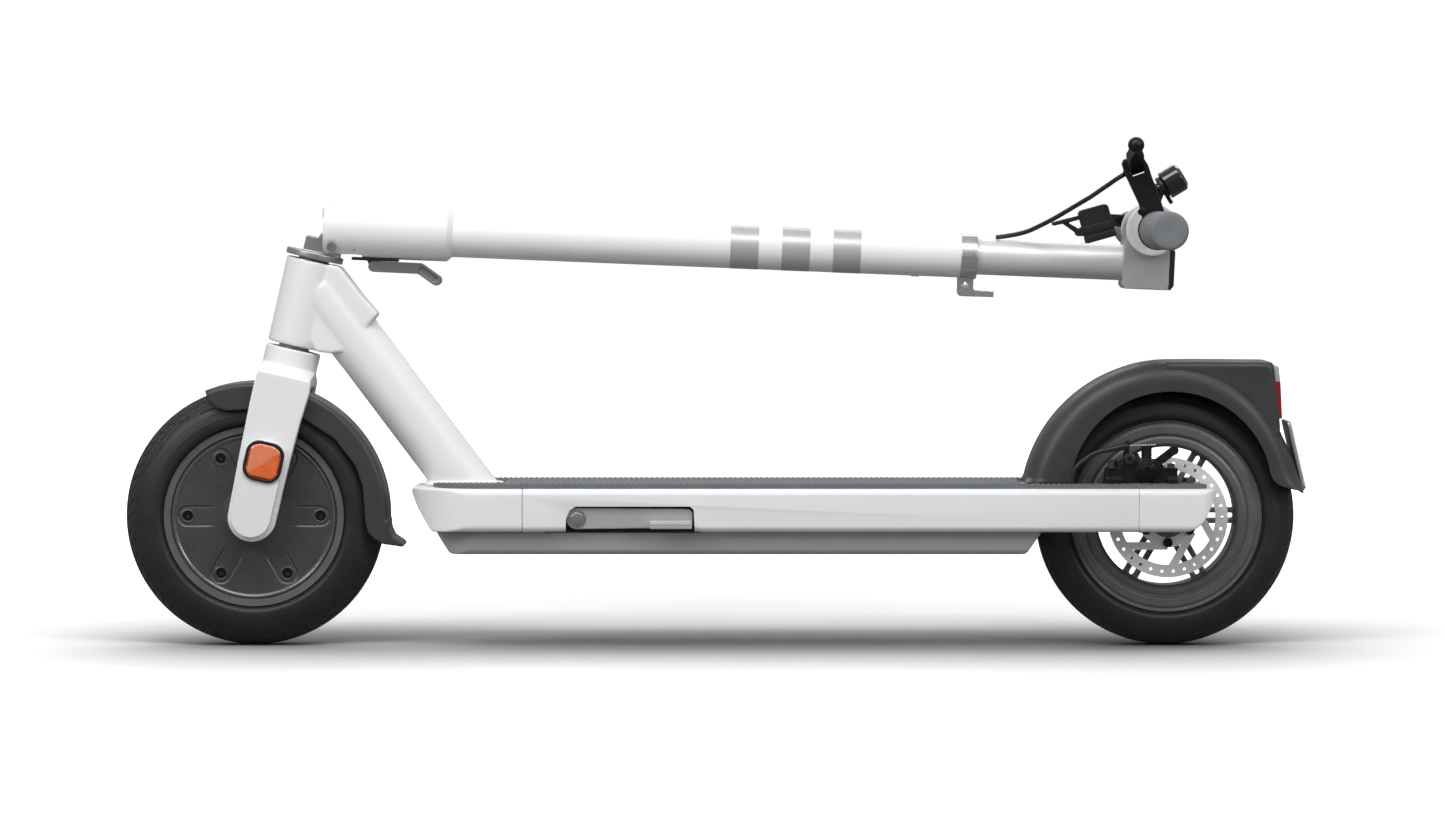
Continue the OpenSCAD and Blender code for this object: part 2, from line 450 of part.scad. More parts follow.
// rubber flap over the socket, turning on the pin above it
module charge_cap() color([0.13, 0.13, 0.13]) translate([-90, 0, 134]) difference() {
  union() {
    ybar(13.5, 82.3, 84.3);
    box3([-3, 82.35, 12], [3, 84.3, 18]);
    translate([-3, 83.6, 18]) rotate([0, 90, 0]) cylinder(r = 1.25, h = 6, $fn = 40);
    box3([-4, 82.4, -16], [4, 84, -12]);
  }
  translate([-5, 83.6, 18]) rotate([0, 90, 0]) cylinder(r = 0.75, h = 10, $fn = 32);
}
module kickstand_mount() color([0.3, 0.3, 0.31]) {
  difference() { box3([-152, -67.5, rail_bot + 0.2], [-14, -64.2, deck_top - 4]); translate([-60, 0, 130]) ybar(4, -80, -60); }
  translate([-134, 0, 128]) { ybar(5, -76.3, -67.4); ybar(8.5, -69.4, -67.4); rotate([0, 15, 0]) translate([0, -76.2, 0]) rotate([90, 0, 0]) cylinder(r = 6, h = 3.4, $fn = 6); }
}
module kickstand_leg() color([0.62, 0.62, 0.63]) difference() {
  union() {
    slab(-76, -69.7) { translate([-134, 128]) circle(r = 10.4); polygon([[-134, 117.6], [-70, 118.4], [-24.5, 118.4], [-21.8, 121], [-21.8, 134], [-25, 137.4], [-134, 138.4]]); }
    box3([-63.1, -89, 118.4], [-22.5, -74, 124.6]);
  }
  translate([-134, 0, 128]) ybar(5.06, -90, -60);
}

// ---------- stem ----------
module on_stem(z0) translate([stem_x, 0, z0]) children();
module hinge_block() color([0.93, 0.93, 0.93]) stem() difference() {
  union() {
    translate([-16.5, 0, -9.1]) cylinder(r = block_r, h = 120.9);
    translate([-16.5, 0, 111.8]) cylinder(r1 = block_r, r2 = stem_r + 0.4, h = 5.7);
    for (z = [2.8, 38]) translate([-16.5, 0, z]) rotate([0, -90, 0]) { cylinder(r = 4.3, h = block_r + 1.5, $fn = 40); cylinder(r = 2.6, h = block_r + 2.8, $fn = 40); }
    translate([-38, -8, -11.6]) cube([9.6, 16, 3]);
  }
  // the rounded heel under the pin
  difference() { translate([0, -40, -12]) cube([40, 80, 12]); ybar(9.05, -50, 50); }
  // pocket for the hinge lug, and the hollow middle
  ybar(29.8, -12.25, 12.25);
  on_stem(20) cylinder(r = 14, h = 80);
  on_stem(95) cylinder(r = stem_r, h = 40);
  ybar(hinge_pin_r, -40, 40);
  for (s = [-1, 1]) ybar(6, s > 0 ? 22.3 : -40, s > 0 ? 40 : -22.3);
  // flat under the latch
  translate([9.0, -30, 18]) cube([10, 60, 48]);
  translate([2.5, 0, 21.7]) ybar(1.8, -40, -15);
}
module hinge_pin() color([0.62, 0.62, 0.63]) stem() { ybar(hinge_pin_r, -22.2, 22.2); both() ybar(4.6, 22.35, 24.3); }
module latch_base() color([0.06, 0.06, 0.06]) stem() difference() {
  union() {
    translate([9.05, -9.5, 19]) cube([3.0, 19, 46]);
    slab(-3.8, 3.8) { translate([17.6, 40.7]) circle(r = 4.4); polygon([[10, 33], [17.6, 36.3], [17.6, 45.1], [10, 47]]); }
  }
  translate([17.6, 0, 40.7]) ybar(2.06, -20, 20);
}
// outline of a bar with round ends, as one run of points
function arc_pts(c, r, a0, a1, n) = [for (i = [0:n]) let (a = a0 + (a1 - a0) * i / n) c + r * [cos(a), sin(a)]];
function pill_pts(a, b, r) = let (d = atan2(b[1] - a[1], b[0] - a[0])) concat(arc_pts(a, r, d + 90, d + 270, 10), arc_pts(b, r, d - 90, d + 90, 10));
lever_a = [17.6, 40.7];
lever_m = [17.9, 86];
lever_b = [28.6, 102.6];
lever_d1 = atan2(lever_m[1] - lever_a[1], lever_m[0] - lever_a[0]);
lever_d2 = atan2(lever_b[1] - lever_m[1], lever_b[0] - lever_m[0]);
module latch_lever() color([0.42, 0.42, 0.43]) stem() {
  difference() {
    slab(-9, 9) polygon(concat(arc_pts(lever_a, 5.3, lever_d1 + 90, lever_d1 + 270, 12),
      [lever_m + 5.3 / cos((lever_d1 - lever_d2) / 2) * [cos((lever_d1 + lever_d2) / 2 - 90), sin((lever_d1 + lever_d2) / 2 - 90)]],
      arc_pts(lever_b, 5.3, lever_d2 - 90, lever_d2 + 90, 12), arc_pts(lever_m, 5.3, lever_d2 + 90, lever_d1 + 90, 3)));
    box3([5, -4.1, 30], [40, 4.1, 52]);
    slab(-20, -7) polygon(pill_pts([19.3, 88.2], [27.6, 101.2], 3.2));
    slab(7, 20) polygon(pill_pts([19.3, 88.2], [27.6, 101.2], 3.2));
  }
  translate([17.6, 0, 40.7]) ybar(2, -5, 5);
}
module stem_tube() color([0.93, 0.93, 0.93]) stem() {
  difference() { on_stem(95.1) cylinder(r = stem_r, h = stem_len - 95.1); on_stem(90) cylinder(r = upper_r + 0.02, h = 600); }
  translate([stem_x + stem_r - 0.6, 0, 571.5]) rotate([0, 90, 0]) cylinder(r1 = 4.4, r2 = 3.6, h = 1.4);
}
module upper_stem_tube() color([0.7, 0.7, 0.71]) stem() difference() {
  on_stem(520) cylinder(r = upper_r, h = 265);
  on_stem(510) cylinder(r = upper_r - 2.2, h = 300);
}
// clamp collar with a carrying hook
module collar_hook() color([0.8, 0.8, 0.81]) stem() difference() {
  union() {
    on_stem(stem_len + 0.05) cylinder(r = 22, h = 15.9);
    slab(-5, 5) polygon([[-2, 613], [20.5, 613.6], [23.3, 616], [23.6, 620], [23.2, 649.7], [17.3, 649.4], [17, 631.5], [15.2, 629.3], [-2, 629]]);
  }
  on_stem(600) cylinder(r = upper_r + 0.02, h = 50);
  on_stem(600) cylinder(r = stem_r + 0.05, h = 15.75);
  translate([11, 0, 621.2]) { ybar(1.7, -20, 20); ybar(2.8, -20, -4); }
}
// head of the stem, holding the handlebar across it
module head_housing() color([0.68, 0.68, 0.69]) stem() difference() {
  union() {
    slab(-28, 28) { translate([bar_x, bar_z]) circle(r = 24); polygon([[-49, 776], [-33, 774], [-8.7, 773.3], [6, 773.4], [9.4, 776], [9.4, 819], [5, 823.6], [-28.4, 824], [-49, 824]]); }
    translate([bar_x, 0, bar_z]) both() ybar(25, 27.9, 37);
  }
  on_stem(700) cylinder(r = upper_r, h = 85);
  translate([bar_x, 0, bar_z]) ybar(bar_r, -60, 60);
  translate([bar_x, 0, bar_z]) rotate([0, -70, 0]) translate([0, 0, 16]) cylinder(r = 15, h = 40);
  box3([-30, -30, 818.95], [12, 30, 830]);
}
module display_glass() color([0.03, 0.03, 0.03]) stem() difference() {
  slab(-28, 28) polygon([[-29.9, 819], [9.35, 819], [9.2, 820.6], [5, 823.8], [-28.4, 824], [-29.9, 823.4]]);
  translate([-2, 0, 810]) cylinder(r = 4.3, h = 30);
}
module power_button() color([0.3, 0.3, 0.3]) stem() translate([-2, 0, 0]) { translate([0, 0, 820]) cylinder(r = 4, h = 4.6); }
module headlight() color([0.9, 0.93, 0.95]) stem()
  translate([bar_x, 0, bar_z]) rotate([0, -70, 0]) { translate([0, 0, 16.1]) cylinder(r = 14.9, h = 8.4); translate([0, 0, 24.4]) cylinder(r = 13, h = 0.8); }

// ---------- handlebar and controls ----------
module on_bar() stem() translate([bar_x, 0, bar_z]) children();
module handlebar() color([0.68, 0.68, 0.69]) on_bar() yring(bar_r, bar_r - 2.2, -bar_hw + 3.1, bar_hw - 3.1);
module grips() color([0.47, 0.49, 0.51]) on_bar() both() {
  difference() { ybar(grip_r, 97, bar_hw); ybar(bar_r, 90, bar_hw - 3); }
}
module brake_perch() color([0.1, 0.1, 0.1]) ctrl() difference() {
  union() {
    ybar(16.5, -93, -80);
    slab(-93, -80) polygon([[-10, -10], [-30, -8], [-62, -11.5], [-72, -11], [-75, -8], [-75, -4], [-70, 10.5], [-62, 12.3], [-50, 12], [-36, 12.8], [-16, 12.5], [0, 10]]);
    slab(-80.1, -72) translate([-61.5, -8]) circle(r = 4.4);
    translate([-22, 0, -9]) ybar(3.4, -95.2, -93);
  }
  ybar(bar_r, -120, -60);
  // fork for the lever blade
  box3([-80, -100, -5.2], [-56.6, -70, 7.2]);
  translate([-62, -85, -30]) cylinder(r = 2.55, h = 60);
}
module brake_lever() color([0.09, 0.09, 0.09]) ctrl() difference() {
  union() {
    translate([-62, -85, -4.8]) cylinder(r = 4.6, h = 11.6);
    translate([-62, -85, -11.6]) cylinder(r = 2.5, h = 22);
    hull() { translate([-62, -87.5, -4.2]) cylinder(r = 2, h = 10.4, $fn = 32); translate([-72, -113, -7]) cylinder(r = 5, h = 14.6, $fn = 32); }
    hull() { translate([-72, -113, -7]) cylinder(r = 5, h = 14.6, $fn = 32); translate([-76, -140, -8]) cylinder(r = 4.6, h = 15.6, $fn = 32); }
    hull() { translate([-76, -140, -8]) cylinder(r = 4.6, h = 15.6, $fn = 32); translate([-83.5, -188, -4.2]) cylinder(r = 4.2, h = 8, $fn = 32); }
    translate([-85.9, -195, -0.4]) sphere(r = 7.8, $fn = 48);
  }
}
// thumb throttle: a is down and b is back along its own tilted body
module thr2() translate([-4.3, -47.1]) rotate(18) children();
module throttle_housing() color([0.11, 0.11, 0.11]) on_bar() difference() {
  union() {
    ybar(16.2, 66, 82);
    slab(60, 88) thr2() rrect(33, 30, 4);
    slab(68, 80) polygon([[-14, -8], [-14, -38], [-3, -38], [0, -8]]);
    slab(60, 62) thr2() { translate([4.1, -20.2]) circle(r = 3.6); polygon([[-1.5, -14], [0.9, -21.8], [7.4, -21.6], [9.5, -14]]); }
    slab(70.3, 74) thr2() { translate([4.1, -20.2]) circle(r = 3.6); polygon([[-1.5, -14], [0.9, -21.8], [7.4, -21.6], [9.5, -14]]); }
  }
  ybar(bar_r, 50, 100);
  slab(62, 70.3) thr2() translate([-17, -17]) square([27, 8.5]);
  translate([5.84, 0, -65.04]) ybar(1.55, 60.5, 73.5);
}
module throttle_paddle() color([0.1, 0.1, 0.1]) on_bar() {
  translate([5.84, 0, -65.04]) ybar(1.5, 60.8, 73);
  slab(62.4, 69.9) { translate([5.84, -65.04]) circle(r = 3.6); thr2() polygon([[-12.8, -42.6], [-9.2, -42.6], [-8.6, -33], [3.2, -23.6], [7.4, -21.6], [6.2, -17.4], [0.8, -18.6], [-8.2, -27.5], [-8.2, -15.8], [-12.4, -15.8]]); }
  slab(60.5, 84) thr2() polygon([[-12.8, -42.6], [-9.2, -42.6], [-8.7, -24], [-12.5, -24]]);
}
module stem_brake_cable() color([0.1, 0.1, 0.1]) stem() cord(bar_cable_pts, 2.3, 8);
// bell on a bracket beside the brake lever
module bell() color([0.07, 0.07, 0.07]) {
  ctrl() { yring(15.2, bar_r, -66, -58); slab(-66, -58) polygon([[-12, 8], [-22, 13], [-29, 18.5], [-41, 16.5], [-36, 9], [-22, 2], [-14, -4]]); }
  ctrl() translate([-36, -62, 17.5]) rotate([0, -12, 0]) { translate([0, 0, -2]) cylinder(r = 7, h = 7.9); difference() { translate([0, 0, 6]) cylinder(r = 14, h = 17); translate([0, 0, 5.9]) cylinder(r = 12.4, h = 15); } translate([0, 0, 5]) cylinder(r = 4, h = 17); translate([0, 0, 22.9]) cylinder(r1 = 14, r2 = 9.8, h = 3.2); }
}
module bell_striker() color([0.2, 0.2, 0.2]) ctrl() translate([-36, -62, 17.5]) rotate([0, -12, 0]) {
  difference() { translate([0, 0, 1]) cylinder(r = 11, h = 4.2); cylinder(r = 7.05, h = 8); }
  translate([8, -3, 1]) cube([10, 6, 3.6]);
}

main_frame();
deck_nose();
deck_extrusion();
deck_tail();
bottom_cover();
battery_pack();
deck_mat();
rear_fender();
tail_light();
plate_bracket();
number_plate();
rear_axle();
headset_bearings();
caliper_body();
fixed_brake_pad();
rear_brake_cable();
charge_port();
kickstand_mount();
kickstand_leg();
charge_cap();
caliper_arm();
moving_brake_pad();
fork_crown();
steerer_tube();
hinge_base();
front_axle();
hub_stator();
fork_leg_covers();
fork_reflectors();
front_fender();
front_tyre();
motor_shell();
motor_covers();
motor_cover_screws();
front_wheel_bearings();
rear_tyre();
rear_rim();
brake_rotor();
rotor_bolts();
rear_wheel_bearings();
hinge_block();
hinge_pin();
latch_base();
stem_tube();
upper_stem_tube();
collar_hook();
head_housing();
display_glass();
headlight();
handlebar();
grips();
brake_perch();
throttle_housing();
stem_brake_cable();
bell();
latch_lever();
brake_lever();
throttle_paddle();
bell_striker();
power_button();
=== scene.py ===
import json
import math

import bmesh
import bpy
from mathutils import Matrix, Vector


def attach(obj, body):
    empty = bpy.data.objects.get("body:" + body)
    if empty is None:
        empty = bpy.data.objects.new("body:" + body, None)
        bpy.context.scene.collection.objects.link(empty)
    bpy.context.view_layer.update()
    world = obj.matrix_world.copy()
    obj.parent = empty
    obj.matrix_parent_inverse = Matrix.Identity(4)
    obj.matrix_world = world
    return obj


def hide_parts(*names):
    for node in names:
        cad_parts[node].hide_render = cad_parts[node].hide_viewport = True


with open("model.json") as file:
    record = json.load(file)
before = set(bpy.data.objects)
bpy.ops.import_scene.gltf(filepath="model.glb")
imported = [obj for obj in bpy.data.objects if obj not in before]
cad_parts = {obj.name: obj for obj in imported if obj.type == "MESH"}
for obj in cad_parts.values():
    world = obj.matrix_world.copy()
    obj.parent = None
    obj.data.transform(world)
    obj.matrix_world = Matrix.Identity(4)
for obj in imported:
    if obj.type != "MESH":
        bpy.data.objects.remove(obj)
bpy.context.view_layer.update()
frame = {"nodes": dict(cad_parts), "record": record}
NODES = frame["nodes"]
scene = bpy.context.scene
MM = 0.001

# ------------------------------------------------------------ frames, in mm
def rot(axis, deg):
    return Matrix.Rotation(math.radians(deg), 4, axis)


STEER = Matrix.Translation((-452, 0, 127)) @ rot("Y", 13)
STEM = Matrix.Translation((-375, 0, 390.7)) @ rot("Y", 92.31)
ONBAR = STEM @ Matrix.Translation((-49, 0, 800))
CTRL = ONBAR @ rot("Y", -21.5)
FWHEEL = Matrix.Translation((-452, 0, 127)) @ rot("X", 90)
RWHEEL = Matrix.Translation((441.8, 0, 127)) @ rot("X", 90)
PLATE = Matrix.Translation((561.7, 0, 221)) @ rot("Y", -13.02)
WORLD = Matrix.Identity(4)


def put(m, p):
    return (m @ Vector(p)) * MM


# ------------------------------------------------------------ camera and light
cam_data = bpy.data.cameras.new("camera")
cam = bpy.data.objects.new("camera", cam_data)
scene.collection.objects.link(cam)
cam.location = (0.0071, -5.2, 0.4336)
look = Vector((0.0071, 0, 0.2338)) - Vector(cam.location)
cam.rotation_euler = look.to_track_quat("-Z", "Y").to_euler()
cam_data.sensor_width = 36
cam_data.lens = 131.9
cam_data.clip_start = 0.05
cam_data.clip_end = 60
scene.camera = cam

scene.view_settings.view_transform = "Standard"
scene.view_settings.look = "None"
scene.view_settings.exposure = 0.0

world = bpy.data.worlds.new("studio")
scene.world = world
world.use_nodes = True
wn, wl = world.node_tree.nodes, world.node_tree.links
wn.clear()
w_out = wn.new("ShaderNodeOutputWorld")
w_bg = wn.new("ShaderNodeBackground")
w_tc = wn.new("ShaderNodeTexCoord")
w_sep = wn.new("ShaderNodeSeparateXYZ")
w_ramp = wn.new("ShaderNodeValToRGB")
w_map = wn.new("ShaderNodeMapRange")
wl.new(w_tc.outputs["Generated"], w_sep.inputs[0])
wl.new(w_sep.outputs["Z"], w_map.inputs["Value"])
w_map.inputs["From Min"].default_value = -0.6
w_map.inputs["From Max"].default_value = 1.0
wl.new(w_map.outputs[0], w_ramp.inputs[0])
w_ramp.color_ramp.elements[0].position = 0.0
w_ramp.color_ramp.elements[0].color = (0.07, 0.07, 0.075, 1)
w_ramp.color_ramp.elements[1].position = 0.75
w_ramp.color_ramp.elements[1].color = (1.0, 1.0, 1.0, 1)
wl.new(w_ramp.outputs[0], w_bg.inputs["Color"])
w_bg.inputs["Strength"].default_value = 0.50
wl.new(w_bg.outputs[0], w_out.inputs[0])


def area(name, loc, target, size, power, size_y=None):
    d = bpy.data.lights.new(name, "AREA")
    d.shape = "RECTANGLE"
    d.size = size
    d.size_y = size_y or size
    d.energy = power
    o = bpy.data.objects.new(name, d)
    o.location = loc
    o.rotation_euler = (Vector(target) - Vector(loc)).to_track_quat("-Z", "Y").to_euler()
    scene.collection.objects.link(o)
    return o


area("key_top", (-0.2, -1.5, 2.5), (0, 0, 0.25), 2.8, 46, 1.0)
area("fill_left", (-2.6, -2.6, 2.0), (0, 0, 0.25), 1.0, 31, 1.2)
area("fill_right", (2.7, -2.6, 1.8), (0, 0, 0.25), 0.9, 26, 1.2)
area("back_strip", (0.2, 2.0, 1.9), (0, 0, 0.25), 2.6, 14, 0.6)

# ------------------------------------------------------------ materials
MATS = {}


def new_mat(name):
    m = bpy.data.materials.new(name)
    m.use_nodes = True
    return m


def node(m, kind, **props):
    n = m.node_tree.nodes.new(kind)
    for k, v in props.items():
        setattr(n, k, v)
    return n


def finish_mat(name, base, var=0.06, rough=0.4, rough_var=0.06, metallic=0.0, scale=60.0, grain=900.0,
               grain_bump=0.15, wave_bump=0.0, coat=0.0, coat_rough=0.1, speck=0.0, speck_scale=1400.0,
               spec=None, edge_wear=0.0, sheen=0.0, stretch=(1, 1, 1), turn=None, transmission=0.0, ior=1.45):
    """A finish with cloudy colour change, fine grain, and roughness that varies over the surface."""
    m = new_mat(name)
    t = m.node_tree
    b = t.nodes["Principled BSDF"]
    tc = node(m, "ShaderNodeTexCoord")
    mp = node(m, "ShaderNodeMapping")
    mp.inputs["Scale"].default_value = stretch
    if turn:
        mp.inputs["Rotation"].default_value = turn
    t.links.new(tc.outputs["Object"], mp.inputs["Vector"])
    n1 = node(m, "ShaderNodeTexNoise")
    n1.inputs["Scale"].default_value = scale
    n1.inputs["Detail"].default_value = 5.0
    n1.inputs["Roughness"].default_value = 0.62
    t.links.new(mp.outputs[0], n1.inputs["Vector"])
    n2 = node(m, "ShaderNodeTexNoise")
    n2.inputs["Scale"].default_value = grain
    n2.inputs["Detail"].default_value = 2.0
    t.links.new(mp.outputs[0], n2.inputs["Vector"])
    ramp = node(m, "ShaderNodeValToRGB")
    ramp.color_ramp.elements[0].position = 0.3
    ramp.color_ramp.elements[1].position = 0.7
    lo = [max(0.0, c * (1 - var)) for c in base]
    hi = [min(1.0, c * (1 + var)) for c in base]
    ramp.color_ramp.elements[0].color = (*lo, 1)
    ramp.color_ramp.elements[1].color = (*hi, 1)
    t.links.new(n1.outputs["Fac"], ramp.inputs[0])
    col = ramp.outputs[0]
    if speck:
        v = node(m, "ShaderNodeTexNoise")
        v.inputs["Scale"].default_value = speck_scale
        v.inputs["Detail"].default_value = 0.0
        t.links.new(mp.outputs[0], v.inputs["Vector"])
        sr = node(m, "ShaderNodeValToRGB")
        sr.color_ramp.elements[0].position = 0.50
        sr.color_ramp.elements[1].position = 0.66
        sr.color_ramp.elements[0].color = (0, 0, 0, 1)
        sr.color_ramp.elements[1].color = (1, 1, 1, 1)
        t.links.new(v.outputs["Fac"], sr.inputs[0])
        mx = node(m, "ShaderNodeMix", data_type="RGBA", blend_type="ADD")
        t.links.new(sr.outputs[0], mx.inputs["Factor"])
        t.links.new(col, mx.inputs["A"])
        mx.inputs["B"].default_value = (speck, speck, speck, 1)
        col = mx.outputs["Result"]
    if edge_wear:
        geo = node(m, "ShaderNodeNewGeometry")
        er = node(m, "ShaderNodeValToRGB")
        er.color_ramp.elements[0].position = 0.52
        er.color_ramp.elements[1].position = 0.60
        er.color_ramp.elements[0].color = (0, 0, 0, 1)
        er.color_ramp.elements[1].color = (edge_wear, edge_wear, edge_wear, 1)
        t.links.new(geo.outputs["Pointiness"], er.inputs[0])
        mx2 = node(m, "ShaderNodeMix", data_type="RGBA", blend_type="ADD")
        mx2.inputs["Factor"].default_value = 1.0
        t.links.new(col, mx2.inputs["A"])
        t.links.new(er.outputs[0], mx2.inputs["B"])
        col = mx2.outputs["Result"]
    t.links.new(col, b.inputs["Base Color"])
    rr = node(m, "ShaderNodeMapRange")
    rr.inputs["From Min"].default_value = 0.3
    rr.inputs["From Max"].default_value = 0.7
    rr.inputs["To Min"].default_value = max(0.02, rough - rough_var)
    rr.inputs["To Max"].default_value = min(1.0, rough + rough_var)
    t.links.new(n1.outputs["Fac"], rr.inputs["Value"])
    t.links.new(rr.outputs[0], b.inputs["Roughness"])
    last = None
    if wave_bump:
        bw = node(m, "ShaderNodeBump")
        bw.inputs["Strength"].default_value = wave_bump
        bw.inputs["Distance"].default_value = 0.0006
        t.links.new(n1.outputs["Fac"], bw.inputs["Height"])
        last = bw.outputs[0]
    if grain_bump:
        bg = node(m, "ShaderNodeBump")
        bg.inputs["Strength"].default_value = grain_bump
        bg.inputs["Distance"].default_value = 0.0002
        t.links.new(n2.outputs["Fac"], bg.inputs["Height"])
        if last is not None:
            t.links.new(last, bg.inputs["Normal"])
        last = bg.outputs[0]
    if last is not None:
        t.links.new(last, b.inputs["Normal"])
    b.inputs["Metallic"].default_value = metallic
    b.inputs["Coat Weight"].default_value = coat
    b.inputs["Coat Roughness"].default_value = coat_rough
    b.inputs["Sheen Weight"].default_value = sheen
    b.inputs["IOR"].default_value = ior
    if spec is not None:
        b.inputs["Specular IOR Level"].default_value = spec
    if transmission:
        b.inputs["Transmission Weight"].default_value = transmission
    MATS[name] = m
    return m


def brushed_round(name, base, centre, rough=0.25, lines=420.0, amount=0.10, metallic=1.0):
    """Metal with radial brushing and rays of light round an axle along y."""
    m = new_mat(name)
    t = m.node_tree
    b = t.nodes["Principled BSDF"]
    tc = node(m, "ShaderNodeTexCoord")
    mp = node(m, "ShaderNodeMapping")
    mp.inputs["Location"].default_value = (-centre[0], -centre[1], -centre[2])
    t.links.new(tc.outputs["Object"], mp.inputs["Vector"])
    sx = node(m, "ShaderNodeSeparateXYZ")
    t.links.new(mp.outputs[0], sx.inputs[0])
    at = node(m, "ShaderNodeMath", operation="ARCTAN2")
    t.links.new(sx.outputs["X"], at.inputs[0])
    t.links.new(sx.outputs["Z"], at.inputs[1])
    ln = node(m, "ShaderNodeVectorMath", operation="LENGTH")
    t.links.new(mp.outputs[0], ln.inputs[0])
    cb = node(m, "ShaderNodeCombineXYZ")
    t.links.new(at.outputs[0], cb.inputs["X"])
    sc = node(m, "ShaderNodeMath", operation="MULTIPLY")
    sc.inputs[1].default_value = 2.0
    t.links.new(ln.outputs["Value"], sc.inputs[0])
    t.links.new(sc.outputs[0], cb.inputs["Y"])
    nz = node(m, "ShaderNodeTexNoise")
    nz.inputs["Scale"].default_value = lines
    nz.inputs["Detail"].default_value = 3.0
    t.links.new(cb.outputs[0], nz.inputs["Vector"])
    # broad rays of reflected light
    ray = node(m, "ShaderNodeMath", operation="MULTIPLY")
    ray.inputs[1].default_value = 2.0
    t.links.new(at.outputs[0], ray.inputs[0])
    sn = node(m, "ShaderNodeMath", operation="SINE")
    t.links.new(ray.outputs[0], sn.inputs[0])
    r1 = node(m, "ShaderNodeMapRange")
    r1.inputs["From Min"].default_value = -1.0
    r1.inputs["From Max"].default_value = 1.0
    r1.inputs["To Min"].default_value = -0.16
    r1.inputs["To Max"].default_value = 0.2
    t.links.new(sn.outputs[0], r1.inputs["Value"])
    r2 = node(m, "ShaderNodeMapRange")
    r2.inputs["From Min"].default_value = 0.25
    r2.inputs["From Max"].default_value = 0.75
    r2.inputs["To Min"].default_value = -amount
    r2.inputs["To Max"].default_value = amount
    t.links.new(nz.outputs["Fac"], r2.inputs["Value"])
    ad = node(m, "ShaderNodeMath", operation="ADD")
    t.links.new(r1.outputs[0], ad.inputs[0])
    t.links.new(r2.outputs[0], ad.inputs[1])
    cr = node(m, "ShaderNodeMapRange")
    cr.inputs["From Min"].default_value = -0.5
    cr.inputs["From Max"].default_value = 0.5
    cr.inputs["To Min"].default_value = 0.0
    cr.inputs["To Max"].default_value = 1.0
    t.links.new(ad.outputs[0], cr.inputs["Value"])
    ramp = node(m, "ShaderNodeValToRGB")
    ramp.color_ramp.elements[0].color = (*[c * 0.62 for c in base], 1)
    ramp.color_ramp.elements[1].color = (*[min(1, c * 1.25) for c in base], 1)
    t.links.new(cr.outputs[0], ramp.inputs[0])
    t.links.new(ramp.outputs[0], b.inputs["Base Color"])
    rr = node(m, "ShaderNodeMapRange")
    rr.inputs["To Min"].default_value = rough - 0.08
    rr.inputs["To Max"].default_value = rough + 0.12
    t.links.new(nz.outputs["Fac"], rr.inputs["Value"])
    t.links.new(rr.outputs[0], b.inputs["Roughness"])
    bp = node(m, "ShaderNodeBump")
    bp.inputs["Strength"].default_value = 0.12
    bp.inputs["Distance"].default_value = 0.0001
    t.links.new(nz.outputs["Fac"], bp.inputs["Height"])
    t.links.new(bp.outputs[0], b.inputs["Normal"])
    b.inputs["Metallic"].default_value = metallic
    MATS[name] = m
    return m


finish_mat("white_paint", (0.87, 0.875, 0.885), var=0.012, rough=0.45, rough_var=0.03, scale=14, grain=1500, grain_bump=0.05, wave_bump=0.03, coat=0.10, coat_rough=0.25)
finish_mat("white_plastic", (0.84, 0.84, 0.85), var=0.012, rough=0.36, rough_var=0.03, scale=20, grain=2200, grain_bump=0.06, coat=0.15, coat_rough=0.2)
finish_mat("plate_white", (0.88, 0.88, 0.88), var=0.015, rough=0.42, rough_var=0.04, scale=30, grain=1800, grain_bump=0.06)
finish_mat("silver_anodised", (0.73, 0.735, 0.74), var=0.02, rough=0.40, rough_var=0.03, metallic=0.35, scale=40, grain=2600, grain_bump=0.10, speck=0.03, speck_scale=2600)
finish_mat("silver_cast", (0.47, 0.475, 0.485), var=0.03, rough=0.42, rough_var=0.04, metallic=0.4, scale=30, grain=2000, grain_bump=0.14, speck=0.05, speck_scale=2600)
finish_mat("band_silver", (0.52, 0.525, 0.53), var=0.02, rough=0.38, rough_var=0.03, metallic=0.35, scale=30, grain=2600, grain_bump=0.06)
finish_mat("fender_plastic", (0.044, 0.046, 0.048), var=0.07, rough=0.40, rough_var=0.05, scale=40, grain=1700, grain_bump=0.22, spec=0.5)
finish_mat("black_plastic", (0.010, 0.010, 0.011), var=0.12, rough=0.42, rough_var=0.07, scale=50, grain=1500, grain_bump=0.25)
finish_mat("black_gloss", (0.006, 0.006, 0.007), var=0.15, rough=0.10, rough_var=0.03, scale=30, grain=900, grain_bump=0.0, coat=0.8, coat_rough=0.04)
finish_mat("black_metal", (0.011, 0.011, 0.012), var=0.14, rough=0.36, rough_var=0.07, metallic=0.35, scale=60, grain=1500, grain_bump=0.2, edge_wear=0.05)
finish_mat("tyre_rubber", (0.0160, 0.0160, 0.0165), var=0.16, rough=0.44, rough_var=0.07, scale=45, grain=1100, grain_bump=0.3, sheen=0.06)
finish_mat("hub_paint", (0.078, 0.078, 0.080), var=0.08, rough=0.38, rough_var=0.05, metallic=0.6, scale=35, grain=2000, grain_bump=0.16, speck=0.06, speck_scale=2400)
finish_mat("rim_paint", (0.135, 0.135, 0.138), var=0.08, rough=0.40, rough_var=0.05, metallic=0.45, scale=35, grain=2000, grain_bump=0.16, speck=0.07, speck_scale=2400)
finish_mat("rim_bright", (0.62, 0.62, 0.63), var=0.05, rough=0.26, rough_var=0.05, metallic=0.9, scale=60, grain=2400, grain_bump=0.08)
finish_mat("rim_edge", (0.26, 0.26, 0.265), var=0.06, rough=0.24, rough_var=0.05, metallic=0.95, scale=60, grain=2400, grain_bump=0.08)
